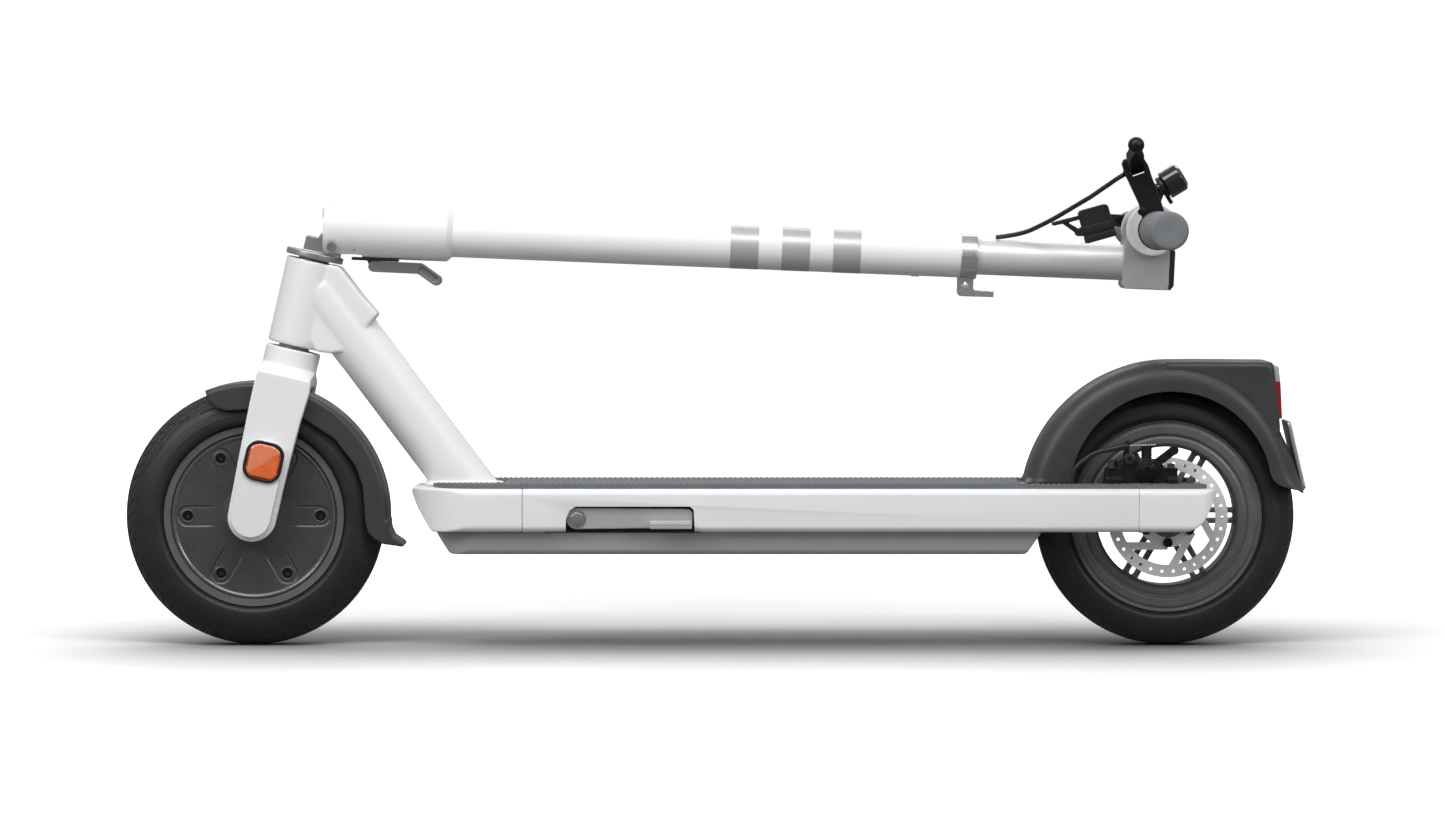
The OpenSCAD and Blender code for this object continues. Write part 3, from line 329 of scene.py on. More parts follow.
finish_mat("bolt_black", (0.012, 0.012, 0.013), var=0.2, rough=0.32, rough_var=0.08, metallic=0.6, scale=200, grain=2400, grain_bump=0.15)
finish_mat("bolt_steel", (0.50, 0.50, 0.51), var=0.08, rough=0.28, rough_var=0.07, metallic=1.0, scale=160, grain=2600, grain_bump=0.12)
finish_mat("latch_grey", (0.20, 0.20, 0.205), var=0.06, rough=0.40, rough_var=0.05, metallic=0.3, scale=50, grain=2200, grain_bump=0.16, edge_wear=0.05)
finish_mat("hinge_silver", (0.42, 0.42, 0.43), var=0.05, rough=0.33, rough_var=0.05, metallic=0.8, scale=60, grain=2400, grain_bump=0.12)
finish_mat("stand_grey", (0.46, 0.46, 0.465), var=0.05, rough=0.42, rough_var=0.05, metallic=0.25, scale=40, grain=2200, grain_bump=0.16, edge_wear=0.08)
finish_mat("cover_grey", (0.47, 0.47, 0.475), var=0.03, rough=0.50, rough_var=0.05, scale=30, grain=1500, grain_bump=0.25)
finish_mat("mat_rubber", (0.135, 0.145, 0.155), var=0.07, rough=0.72, rough_var=0.06, scale=60, grain=900, grain_bump=0.45, sheen=0.08)
finish_mat("grip_rubber", (0.185, 0.195, 0.207), var=0.05, rough=0.62, rough_var=0.05, scale=80, grain=1100, grain_bump=0.35, sheen=0.08)
finish_mat("cable_black", (0.02, 0.02, 0.021), var=0.1, rough=0.35, rough_var=0.06, scale=90, grain=1600, grain_bump=0.15)
finish_mat("lamp_red", (0.50, 0.012, 0.016), var=0.12, rough=0.14, rough_var=0.04, scale=90, grain=1000, grain_bump=0.1, coat=0.8, coat_rough=0.05)
finish_mat("lamp_clear", (0.86, 0.88, 0.90), var=0.03, rough=0.08, rough_var=0.03, scale=90, grain=1000, grain_bump=0.05, coat=0.9, coat_rough=0.03)
finish_mat("lens_orange", (0.80, 0.150, 0.030), var=0.10, rough=0.16, rough_var=0.04, scale=120, grain=1200, grain_bump=0.1, coat=0.7, coat_rough=0.05)
finish_mat("lens_orange_deep", (0.34, 0.040, 0.006), var=0.16, rough=0.2, rough_var=0.05, scale=140, grain=1200, grain_bump=0.15, coat=0.7, coat_rough=0.05)
# lighter pink for the upper left field of the lens: a painted reflection
finish_mat("lens_painted_reflection", (0.85, 0.25, 0.12), var=0.06, rough=0.16, rough_var=0.04, scale=120, grain=1200, grain_bump=0.1, coat=0.7, coat_rough=0.05)
tail = finish_mat("lamp_tail", (0.50, 0.012, 0.016), var=0.12, rough=0.14, rough_var=0.04, scale=90, grain=1000, grain_bump=0.1, coat=0.8, coat_rough=0.05)
t_ = tail.node_tree
b_ = t_.nodes["Principled BSDF"]
red_ = b_.inputs["Base Color"].links[0].from_socket
# fine stripes along z scale the red between 0.45 and 1.2: painted light and shade of the lens ridges; above z 0.2588 m
# the lamp is clear grey
tc_ = node(tail, "ShaderNodeTexCoord")
sx_ = node(tail, "ShaderNodeSeparateXYZ")
t_.links.new(tc_.outputs["Object"], sx_.inputs[0])
mu_ = node(tail, "ShaderNodeMath", operation="MULTIPLY")
mu_.inputs[1].default_value = 2 * math.pi / 0.0024
t_.links.new(sx_.outputs["Z"], mu_.inputs[0])
si_ = node(tail, "ShaderNodeMath", operation="SINE")
t_.links.new(mu_.outputs[0], si_.inputs[0])
wv_ = node(tail, "ShaderNodeMapRange")
wv_.inputs["From Min"].default_value = -1.0
wv_.inputs["From Max"].default_value = 1.0
wv_.inputs["To Min"].default_value = 0.45
wv_.inputs["To Max"].default_value = 1.2
t_.links.new(si_.outputs[0], wv_.inputs["Value"])
rd_ = node(tail, "ShaderNodeMix", data_type="RGBA", blend_type="MULTIPLY")
rd_.inputs["Factor"].default_value = 1.0
t_.links.new(red_, rd_.inputs["A"])
t_.links.new(wv_.outputs[0], rd_.inputs["B"])
up_ = node(tail, "ShaderNodeMapRange")
up_.inputs["From Min"].default_value = 0.2588
up_.inputs["From Max"].default_value = 0.2594
t_.links.new(sx_.outputs["Z"], up_.inputs["Value"])
cl_ = node(tail, "ShaderNodeMix", data_type="RGBA", blend_type="MIX")
cl_.inputs["B"].default_value = (0.55, 0.56, 0.57, 1)
t_.links.new(up_.outputs[0], cl_.inputs["Factor"])
t_.links.new(rd_.outputs["Result"], cl_.inputs["A"])
t_.links.new(cl_.outputs["Result"], b_.inputs["Base Color"])
finish_mat("pad_lining", (0.07, 0.055, 0.05), var=0.3, rough=0.85, rough_var=0.05, scale=300, grain=1500, grain_bump=0.5)
finish_mat("copper_coils", (0.55, 0.26, 0.12), var=0.2, rough=0.35, rough_var=0.08, metallic=0.9, scale=300, grain=1500, grain_bump=0.4)
finish_mat("cell_wrap", (0.05, 0.10, 0.20), var=0.12, rough=0.35, rough_var=0.05, scale=60, grain=900, grain_bump=0.15)
finish_mat("button_grey", (0.10, 0.10, 0.105), var=0.1, rough=0.45, rough_var=0.05, scale=200, grain=1800, grain_bump=0.2)
brushed_round("rotor_steel", (0.80, 0.80, 0.81), (0.4418, -0.0389, 0.127), rough=0.42, amount=0.05, metallic=0.3)

# ------------------------------------------------------------ mesh helpers
def smooth_by_angle(me, deg=35):
    for p in me.polygons:
        p.use_smooth = True
    me.set_sharp_from_angle(angle=math.radians(deg))


def piece(name, verts, faces, mats, body, deg=35, face_mat=None, double=False, flip=False):
    me = bpy.data.meshes.new(name)
    me.from_pydata([tuple(v) for v in verts], [], faces)
    me.validate()
    if isinstance(mats, str):
        mats = [mats]
    for k in mats:
        me.materials.append(MATS[k])
    if face_mat:
        for p in me.polygons:
            p.material_index = face_mat(p)
    bm = bmesh.new()
    bm.from_mesh(me)
    bmesh.ops.remove_doubles(bm, verts=bm.verts, dist=1e-6)
    bmesh.ops.recalc_face_normals(bm, faces=bm.faces)
    bm.to_mesh(me)
    bm.free()
    smooth_by_angle(me, deg)
    me.update()
    o = bpy.data.objects.new(name, me)
    scene.collection.objects.link(o)
    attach(o, body)
    return o


def lathe(profile, m, seg=160, closed=True):
    """Turns (radius, z) points round the local z axis. A closed profile makes a closed ring."""
    verts, faces = [], []
    n = len(profile)
    for i in range(seg):
        a = 2 * math.pi * i / seg
        c, s = math.cos(a), math.sin(a)
        for r, z in profile:
            verts.append(put(m, (r * c, r * s, z)))
    last = n if closed else n - 1
    for i in range(seg):
        j = (i + 1) % seg
        for k in range(last):
            k2 = (k + 1) % n
            faces.append((i * n + k, j * n + k, j * n + k2, i * n + k2))
    return verts, faces


def rounded(points, r, steps=4):
    """Rounds the corners of a closed 2-D outline."""
    out = []
    n = len(points)
    for i in range(n):
        p0, p1, p2 = Vector(points[i - 1]), Vector(points[i]), Vector(points[(i + 1) % n])
        a, b = p0 - p1, p2 - p1
        la, lb = a.length, b.length
        if la < 1e-6 or lb < 1e-6:
            continue
        a.normalize(); b.normalize()
        cosang = max(-1, min(1, a.dot(b)))
        ang = math.acos(cosang)
        if ang > math.radians(172):
            out.append(tuple(p1))
            continue
        t = min(r / math.tan(ang / 2), la * 0.45, lb * 0.45)
        q0, q1 = p1 + a * t, p1 + b * t
        for s in range(steps + 1):
            u = s / steps
            out.append(tuple(q0 * (1 - u) ** 2 + p1 * 2 * u * (1 - u) + q1 * u ** 2))
    return out


def prism(outline, y0, y1, m, bevel=0.6, steps=3):
    """An outline in local x and z, from y0 to y1, with rounded rims."""
    rings = []
    c = Vector((sum(p[0] for p in outline) / len(outline), sum(p[1] for p in outline) / len(outline)))
    n = len(outline)
    normals = []
    area2 = sum(outline[i][0] * outline[(i + 1) % n][1] - outline[(i + 1) % n][0] * outline[i][1] for i in range(n))
    sg = 1 if area2 > 0 else -1
    for i in range(n):
        p0, p2 = Vector(outline[i - 1]), Vector(outline[(i + 1) % n])
        d = p2 - p0
        if d.length < 1e-9:
            normals.append(Vector((0, 0)))
            continue
        d.normalize()
        normals.append(Vector((d.y, -d.x)) * sg)
    def ring(off, y):
        return [put(m, (outline[i][0] - normals[i].x * off, y, outline[i][1] - normals[i].y * off)) for i in range(n)]
    for s in range(steps + 1):
        a = math.pi / 2 * s / steps
        rings.append(ring(bevel * (1 - math.sin(a)), y0 + bevel * (1 - math.cos(a))))
    for s in range(steps + 1):
        a = math.pi / 2 * s / steps
        rings.append(ring(bevel * (1 - math.cos(a)), y1 - bevel * (1 - math.sin(a))))
    verts = [v for r in rings for v in r]
    faces = []
    for k in range(len(rings) - 1):
        for i in range(n):
            j = (i + 1) % n
            faces.append((k * n + i, k * n + j, (k + 1) * n + j, (k + 1) * n + i))
    faces.append(tuple(range(n)))
    faces.append(tuple(range((len(rings) - 1) * n, len(rings) * n)))
    return verts, faces


def merge(*parts):
    verts, faces = [], []
    for v, f in parts:
        k = len(verts)
        verts += list(v)
        faces += [tuple(i + k for i in q) for q in f]
    return verts, faces


def tube(points, radius, m=WORLD, seg=20, sub=6, ends=True):
    """A round cord through points, smoothed with Catmull-Rom steps."""
    pts = [Vector(p) for p in points]
    path = []
    for i in range(len(pts) - 1):
        p0, p1, p2, p3 = pts[max(i - 1, 0)], pts[i], pts[i + 1], pts[min(i + 2, len(pts) - 1)]
        for s in range(sub):
            u = s / sub
            path.append(0.5 * ((2 * p1) + (p2 - p0) * u + (2 * p0 - 5 * p1 + 4 * p2 - p3) * u * u + (3 * p1 - p0 - 3 * p2 + p3) * u ** 3))
    path.append(pts[-1])
    verts, faces = [], []
    n = len(path)
    ref = Vector((0.3, 0.9, 0.2)).normalized()
    for i, p in enumerate(path):
        t = (path[min(i + 1, n - 1)] - path[max(i - 1, 0)]).normalized()
        u = t.cross(ref).normalized()
        v = t.cross(u)
        r = radius(i / (n - 1)) if callable(radius) else radius
        for k in range(seg):
            a = 2 * math.pi * k / seg
            verts.append(put(m, p + u * r * math.cos(a) + v * r * math.sin(a)))
    for i in range(n - 1):
        for k in range(seg):
            k2 = (k + 1) % seg
            faces.append((i * seg + k, (i + 1) * seg + k, (i + 1) * seg + k2, i * seg + k2))
    if ends:
        faces.append(tuple(range(seg)))
        faces.append(tuple(range((n - 1) * seg, n * seg)))
    return verts, faces


def ybar(profile, m, seg=96):
    """Turns (radius, y) points round the local y axis."""
    return lathe(profile, m @ rot("X", 90) @ Matrix.Scale(-1, 4, (0, 0, 1)), seg)


def dress(name, material, deg=35, soften=None, bevel=None):
    """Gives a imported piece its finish, and rounds its edges with modifiers."""
    o = NODES[name]
    o.data.materials.clear()
    o.data.materials.append(MATS[material])
    for p in o.data.polygons:
        p.material_index = 0
    if soften:
        size, iters = soften
        w = o.modifiers.new("weld", "WELD")
        w.merge_threshold = 1e-6
        r = o.modifiers.new("remesh", "REMESH")
        r.mode = "VOXEL"
        r.voxel_size = size * MM
        r.use_smooth_shade = True
        s = o.modifiers.new("smooth", "SMOOTH")
        s.factor = 0.5
        s.iterations = iters
    else:
        w = o.modifiers.new("weld", "WELD")
        w.merge_threshold = 1e-6
        if bevel:
            d = o.modifiers.new("flat", "DECIMATE")
            d.decimate_type = "DISSOLVE"
            d.angle_limit = math.radians(0.6)
            b = o.modifiers.new("bevel", "BEVEL")
            b.width = bevel * MM
            b.segments = 2
            b.limit_method = "ANGLE"
            b.angle_limit = math.radians(40)
            b.use_clamp_overlap = True
            b.harden_normals = False
        smooth_by_angle(o.data, deg)
        e = o.modifiers.new("crease", "EDGE_SPLIT")
        e.split_angle = math.radians(deg)
        e.use_edge_angle = True
        e.use_edge_sharp = False
    return o


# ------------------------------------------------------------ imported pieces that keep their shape
for nm in ("main_frame",):
    dress(nm, "white_paint", soften=(1.1, 26))
dress("deck_nose", "white_paint", soften=(0.9, 10))
dress("deck_extrusion", "white_paint", deg=50, bevel=0.5)
dress("deck_tail", "white_paint", soften=(0.9, 10))
dress("bottom_cover", "cover_grey", soften=(1.4, 8))
dress("battery_pack", "cell_wrap", bevel=0.8)
dress("tail_light", "lamp_tail", soften=(0.5, 6))
dress("plate_bracket", "hinge_silver", soften=(0.7, 5))
dress("number_plate", "plate_white", soften=(0.5, 4))
dress("rear_axle", "bolt_steel", deg=40)
dress("headset_bearings", "bolt_steel", deg=40)
dress("caliper_body", "black_metal", soften=(0.6, 6))
dress("fixed_brake_pad", "pad_lining", deg=30)
dress("charge_port", "black_plastic", soften=(0.5, 4))
dress("kickstand_mount", "black_metal", soften=(0.7, 4))
dress("kickstand_leg", "stand_grey", soften=(0.6, 6))
dress("charge_cap", "black_plastic", soften=(0.45, 6))
dress("caliper_arm", "black_metal", soften=(0.45, 5))
dress("moving_brake_pad", "pad_lining", deg=30)
dress("fork_crown", "white_paint", soften=(0.9, 12))
dress("steerer_tube", "silver_cast", deg=40)
dress("hinge_base", "hinge_silver", soften=(0.7, 6))
dress("front_axle", "bolt_black", deg=30)
dress("hub_stator", "copper_coils", deg=30)
dress("fork_leg_covers", "white_plastic", soften=(0.6, 10))
dress("front_fender", "fender_plastic", soften=(0.9, 10))
dress("motor_shell", "rim_paint", deg=25)
dress("motor_cover_screws", "bolt_black", deg=30)
dress("front_wheel_bearings", "bolt_steel", deg=30)
dress("rear_rim", "rim_paint", soften=(0.8, 4))
dress("brake_rotor", "rotor_steel", deg=20)
dress("rotor_bolts", "bolt_black", deg=30)
dress("rear_wheel_bearings", "bolt_steel", deg=30)
dress("hinge_block", "white_paint", soften=(0.7, 6))
dress("hinge_pin", "bolt_steel", deg=40)
dress("latch_base", "black_gloss", soften=(0.4, 4))
dress("latch_lever", "latch_grey", soften=(0.45, 7))
dress("stem_tube", "white_paint", deg=40)
dress("upper_stem_tube", "silver_anodised", deg=40)
dress("collar_hook", "rim_bright", soften=(0.5, 6))
dress("head_housing", "silver_cast", soften=(0.7, 9))
dress("display_glass", "black_gloss", soften=(0.4, 3))
dress("headlight", "lamp_clear", soften=(0.5, 6))
dress("handlebar", "silver_anodised", deg=40)
dress("brake_perch", "black_metal", soften=(0.5, 7))
dress("throttle_housing", "black_plastic", soften=(0.5, 7))
dress("bell", "black_gloss", soften=(0.45, 6))
dress("brake_lever", "black_metal", soften=(0.5, 6))
dress("throttle_paddle", "black_plastic", soften=(0.4, 6))
dress("bell_striker", "black_plastic", soften=(0.4, 4))
dress("power_button", "button_grey", deg=30)

# ------------------------------------------------------------ tyres
def smoothstep(a, b, x):
    t = max(0.0, min(1.0, (x - a) / (b - a)))
    return t * t * (3 - 2 * t)


def groove(d, w):
    """1 in the middle of a groove of half width w, 0 outside it."""
    return 1 - smoothstep(w * 0.55, w, abs(d))


def tyre_piece(name, cad, rf, m, body, phase):
    R, hw = 127.0, 27.0
    seg, k = 840, 104
    arc = []
    for i in range(k + 1):
        a = math.radians(-90 + 180 * i / k)
        r = rf + 6 + (R - rf - 6) * math.cos(a) * (1 - 0.04 * math.sin(a) ** 2)
        y = hw * math.sin(a) * (1 - 0.035 * math.cos(a) ** 8)
        arc.append((r, y, math.degrees(a)))
    # bead bulge towards the rim
    verts, faces = [], []
    inner = [(rf + 3, hw - 1.0), (rf + 1.4, hw - 4), (rf + 0.9, 18.5), (rf - 3.6, 18.4), (rf - 3.6, -18.4), (rf + 0.9, -18.5), (rf + 1.4, -hw + 4), (rf + 3, -hw + 1.0)]
    n = len(arc) + len(inner)
    for i in range(seg):
        th = 2 * math.pi * i / seg
        c, s = math.cos(th), math.sin(th)
        for r, y, a in arc:
            dr = 0.0
            aa = abs(a)
            sgn = 1 if a > 0 else -1
            # circumferential grooves of the crown, gently waved
            w1 = 7.0 + 1.6 * math.sin(30 * th + (0 if sgn > 0 else math.pi) + phase)
            dr += 1.5 * groove(aa - w1, 1.5)
            w2 = 21.0 + 2.4 * math.sin(20 * th + sgn * 0.9 + phase)
            dr += 1.5 * groove(aa - w2, 1.7)
            # slanting sipes of the tread blocks
            if 9 < aa < 40:
                u = (th * 60 / (2 * math.pi) + sgn * aa * 0.045) % 1.0
                e = smoothstep(9, 11, aa) * (1 - smoothstep(38, 40, aa))
                dr += 1.1 * e * groove((u - 0.5) * 13.0, 0.75) * (1 if 10.5 < aa else 0)
            # long waved lines of the shoulder
            w3 = 41.5 + 3.2 * math.sin(12 * th + sgn * 0.6 + phase)
            dr += 1.0 * groove(aa - w3, 1.3)
            w4 = 50.5 + 3.8 * math.sin(12 * th + 1.9 + sgn * 0.6 + phase)
            dr += 0.8 * groove(aa - w4, 1.1)
            # a raised line on the wall, and the swelling over the bead
            up = 0.5 * groove(aa - 66, 1.2) + 0.35 * groove(aa - 79.0, 1.0)
            rr = r - dr * math.cos(math.radians(a)) + up * math.cos(math.radians(a))
            yy = y - dr * math.sin(math.radians(a)) * 0.8 + up * math.sin(math.radians(a)) * 0.6
            yy = max(-hw + 0.05, min(hw - 0.05, yy))
            verts.append(put(m, (rr * c, rr * s, yy)))
        for r, y in inner:
            verts.append(put(m, (r * c, r * s, y)))
    for i in range(seg):
        j = (i + 1) % seg
        for q in range(n):
            q2 = (q + 1) % n
            faces.append((i * n + q, j * n + q, j * n + q2, i * n + q2))
    o = piece(name, verts, faces, "tyre_rubber", body, deg=60)
    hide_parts(cad)
    return o


tyre_piece("front_tyre_tread", "front_tyre", 88.5, FWHEEL, "front_wheel", 0.4)
tyre_piece("rear_tyre_tread", "rear_tyre", 94.0, RWHEEL, "rear_wheel", 1.3)

# ------------------------------------------------------------ motor covers, with six set-in pads
def cover_height(r, th):
    prof = [(14.03, 25), (17, 26), (21, 26), (24, 21.2), (32, 19.9), (76, 19.9), (77.2, 20.3), (78.2, 21.2), (80, 21.2)]
    z = prof[-1][1]
    for (r0, z0), (r1, z1) in zip(prof, prof[1:]):
        if r0 <= r <= r1:
            t = (r - r0) / (r1 - r0)
            z = z0 + (z1 - z0) * t
            break
    k = round(th / (math.pi / 3))
    d = th - k * math.pi / 3
    u, v = r * math.cos(d), r * math.sin(d)
    # distance inside the pad: 19 mm wide, round about its screw and fading out towards the axle
    inside = 9.5 - (abs(v) if u < 65 else math.hypot(u - 65, v))
    fade = smoothstep(33, 52, u)
    z -= 0.8 * fade * smoothstep(-0.5, 0.5, inside)
    z -= 0.45 * fade * groove(inside, 1.0)
    # counterbore of the screw
    e = math.hypot(u - 65, v)
    z -= 2.9 * (1 - smoothstep(4.35, 4.75, e))
    z += 0.5 * groove(e - 6.0, 0.9)
    return z


def cover_piece(name, side):
    m = FWHEEL if side > 0 else FWHEEL @ Matrix.Scale(-1, 4, (0, 0, 1))
    seg = 900
    radii = [14.03, 15, 16, 17, 19, 21, 22, 23, 24, 26, 28, 30] + [31 + 0.8 * i for i in range(56)] + [75.6, 76.0, 76.6, 77.2, 77.7, 78.2, 79.0, 80.0]
    verts, faces = [], []
    n = len(radii) + 4
    for i in range(seg):
        th = 2 * math.pi * i / seg
        c, s = math.cos(th), math.sin(th)
        for r in radii:
            verts.append(put(m, (r * c, r * s, cover_height(r, th))))
        for r, z in ((80, 12.3), (58, 12.3), (58, 15.9), (14.03, 15.9)):
            verts.append(put(m, (r * c, r * s, z)))
    for i in range(seg):
        j = (i + 1) % seg
        for q in range(n):
            q2 = (q + 1) % n
            faces.append((i * n + q, j * n + q, j * n + q2, i * n + q2))
    ctr = Vector((-0.452, 0, 0.127))

    def which(p):
        d = p.center - ctr
        r = math.hypot(d.x, d.z) * 1000
        return 1 if r > 77.3 and abs(d.y) > 0.0195 else 0
    return piece(name, verts, faces, ["hub_paint", "rim_edge"], "front_wheel", deg=50, face_mat=which)


SLOTS = [x.get("slot") for x in frame["record"].get("materials", [])]
cl = cover_piece("motor_cover_left", 1)
cr_ = cover_piece("motor_cover_right", -1)
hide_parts("motor_covers")

# ------------------------------------------------------------ rear fender: one curved shell
def ray_hit(c, ang, poly):
    d = Vector((math.cos(ang), math.sin(ang)))
    best = None
    for (x0, z0), (x1, z1) in zip(poly, poly[1:]):
        a, b = Vector((x0, z0)) - c, Vector((x1, z1)) - c
        e = b - a
        den = d.x * e.y - d.y * e.x
        if abs(den) < 1e-9:
            continue
        t = (a.x * e.y - a.y * e.x) / den
        u = (a.x * d.y - a.y * d.x) / den
        if -1e-6 <= u <= 1 + 1e-6 and t > 0:
            best = t if best is None else max(best, t)
    return best


def wall(o, thick, edge=0.0007):
    me = o.data
    bm = bmesh.new(); bm.from_mesh(me)
    bmesh.ops.recalc_face_normals(bm, faces=bm.faces)
    top = max(bm.faces, key=lambda f: f.calc_center_median().z)
    if top.normal.z < 0:
        bmesh.ops.reverse_faces(bm, faces=bm.faces)
    bm.to_mesh(me); bm.free()
    smooth_by_angle(me, 50)
    s = o.modifiers.new("wall", "SOLIDIFY")
    s.thickness = thick
    s.offset = -1
    s.use_even_offset = False
    b = o.modifiers.new("bevel", "BEVEL")
    b.width = edge
    b.segments = 2
    b.limit_method = "ANGLE"
    b.angle_limit = math.radians(55)
    return o


def fender_shell(name, outer, lower, a0, a1, hw, R, stations, c, side_only=None, crown=0.0):
    rows = []
    nd, na, nt = 18, 12, 8
    for i in range(stations + 1):
        ang = math.radians(a0 + (a1 - a0) * i / stations)
        ro = ray_hit(c, ang, outer) or 130.0
        ri = ray_hit(c, ang, lower)
        if ri is None or ri > ro - 0.4:
            ri = ro - 0.4
        d = Vector((math.cos(ang), math.sin(ang)))
        rr = min(R, max(0.2, (ro - ri) * 0.75))
        row = []
        for k in range(nd + 1):
            r = ri + (ro - rr - ri) * k / nd
            row.append((c.x + d.x * r, hw, c.y + d.y * r))
        for k in range(1, na + 1):
            q = math.pi / 2 * k / na
            r = ro - rr + rr * math.sin(q)
            row.append((c.x + d.x * r, hw - rr * 1.15 * (1 - math.cos(q)), c.y + d.y * r))
        ytop = hw - rr * 1.15
        for k in range(1, nt + 1):
            row.append((c.x + d.x * ro, ytop * (1 - k / nt), c.y + d.y * ro))
        rows.append(row + [(x, -y, z) for x, y, z in reversed(row[:-1])])
    verts = [put(WORLD, p) for row in rows for p in row]
    n = len(rows[0])
    faces = [(i * n + k, (i + 1) * n + k, (i + 1) * n + k + 1, i * n + k + 1) for i in range(stations) for k in range(n - 1)]
    return wall(piece(name, verts, faces, "fender_plastic", "frame", deg=50), 0.0025)


FC = Vector((447.0, 140.0))


def arc(cx, cz, r, a0, a1, step=-3):
    out, a = [], a0
    while (a - a1) * step < 0 or abs(a - a1) < 1e-6:
        out.append((cx + r * math.cos(math.radians(a)), cz + r * math.sin(math.radians(a))))
        a += step
    return out


arch_outer = arc(447, 133, 147, 168.98, 91, -2) + [(447, 280), (458, 279.4), (474, 276.6), (490, 271.6), (505, 264.4), (518, 255.4), (529.5, 245), (539, 233.4), (546.2, 222.5), (551.8, 213.0), (555.3, 205.3), (561.2, 193.5), (567.5, 181.3), (571.5, 168), (574.3, 152.1)]
arch_lower = [(302.7, 161.1)] + arc(445, 151, 99, 174.15, 17, -3) + [(541.6, 171), (543.6, 165.3), (546.5, 161.5), (550.5, 158.4), (562.2, 154.5), (574.3, 152.1)]
rf_piece = fender_shell("rear_fender_arch", arch_outer, arch_lower, math.degrees(math.atan2(161.1 - FC.y, 302.9 - FC.x)), math.degrees(math.atan2(152.3 - FC.y, 574.1 - FC.x)), 43.0, 21.0, 170, FC)
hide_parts("rear_fender")
# the flat-topped tail on the arch, which carries the lamp
tail_outer = [(440, 278.4), (452, 279.6), (470, 279.8), (500, 279.6), (539.0, 279.3), (543.4, 278.3), (545.4, 275.8), (546.2, 271), (548.6, 250), (551.5, 222.5), (552.0, 214.5), (551.0, 206)]
tail_lower = [(440, 272), (470, 268), (490, 262), (505, 254), (518, 245), (529, 234), (538, 222), (544, 212), (548, 204), (549, 200)]
fender_shell("rear_fender_tail", tail_outer, tail_lower, 92.5, 33.2, 38.5, 7.0, 90, FC)

# ------------------------------------------------------------ deck mat with curved ribs
def mat_inside(x, y, pad=0.0):
    ay = abs(y)
    if x < -276 + pad or ay > 70 - pad:
        return False
    if x < -230:                       # round front corners
        cx, cy = -230, 24
        if ay > cy and math.hypot(x - cx, ay - cy) > 46 - pad:
            return False
    if -288 < x < -240 + pad and ay < 29 + pad:
        return False
    if -286 - pad < x < -206 + pad and ay < 31 + pad:    # foot of the down tube
        qx, qy = max(0, abs(x + 246) - 23), max(0, ay - 14)
        if math.hypot(qx, qy) < 17 + pad:
            return False
    if x > 298 - pad and ay < 50 + pad:
        return False
    if x > 400 - pad and ay > 70 - pad:
        return False
    if x > 468:
        if math.hypot(x - 468, ay - 60) > 10 - pad:
            return False
    if math.hypot(x - 347, y + 54) < 4 + pad:
        return False
    return x < 478


src = NODES["deck_mat"].data
me = src.copy()
me.name = "deck_mat_base"
for v in me.vertices:
    if v.co.z > 0.1608:
        v.co.z = 0.1603
base = bpy.data.objects.new("deck_mat_base", me)
scene.collection.objects.link(base)
me.materials.clear()
me.materials.append(MATS["mat_rubber"])
smooth_by_angle(me, 30)
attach(base, "frame")
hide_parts("deck_mat")

verts, faces = [], []
sec = [(-1.75, 160.2), (-1.25, 160.85), (-0.55, 161.1), (0.55, 161.1), (1.25, 160.85), (1.75, 160.2)]
ns = len(sec)
x0 = -300.0
while x0 < 500:
    run = []
    y = -70.0
    while y <= 70.01:
        x = x0 + 11.0 * (1 - (y / 70.0) ** 2) - 4.0
        if mat_inside(x, y, 2.2):
            run.append((x, y))
        else:
            if len(run) > 2:
                k0 = len(verts)
                for p in run:
                    for dx, z in sec:
                        verts.append(put(WORLD, (p[0] + dx, p[1], z)))
                for i in range(len(run) - 1):
                    for q in range(ns - 1):
                        faces.append((k0 + i * ns + q, k0 + i * ns + q + 1, k0 + (i + 1) * ns + q + 1, k0 + (i + 1) * ns + q))
                faces.append(tuple(k0 + q for q in range(ns)))
                faces.append(tuple(k0 + (len(run) - 1) * ns + q for q in range(ns)))
            run = []
        y += 2.0
    if len(run) > 2:
        k0 = len(verts)
        for p in run:
            for dx, z in sec:
                verts.append(put(WORLD, (p[0] + dx, p[1], z)))
        for i in range(len(run) - 1):
            for q in range(ns - 1):
                faces.append((k0 + i * ns + q, k0 + i * ns + q + 1, k0 + (i + 1) * ns + q + 1, k0 + (i + 1) * ns + q))
        faces.append(tuple(k0 + q for q in range(ns)))
        faces.append(tuple(k0 + (len(run) - 1) * ns + q for q in range(ns)))
    x0 += 5.2
piece("deck_mat_ribs", verts, faces, "mat_rubber", "frame", deg=50)

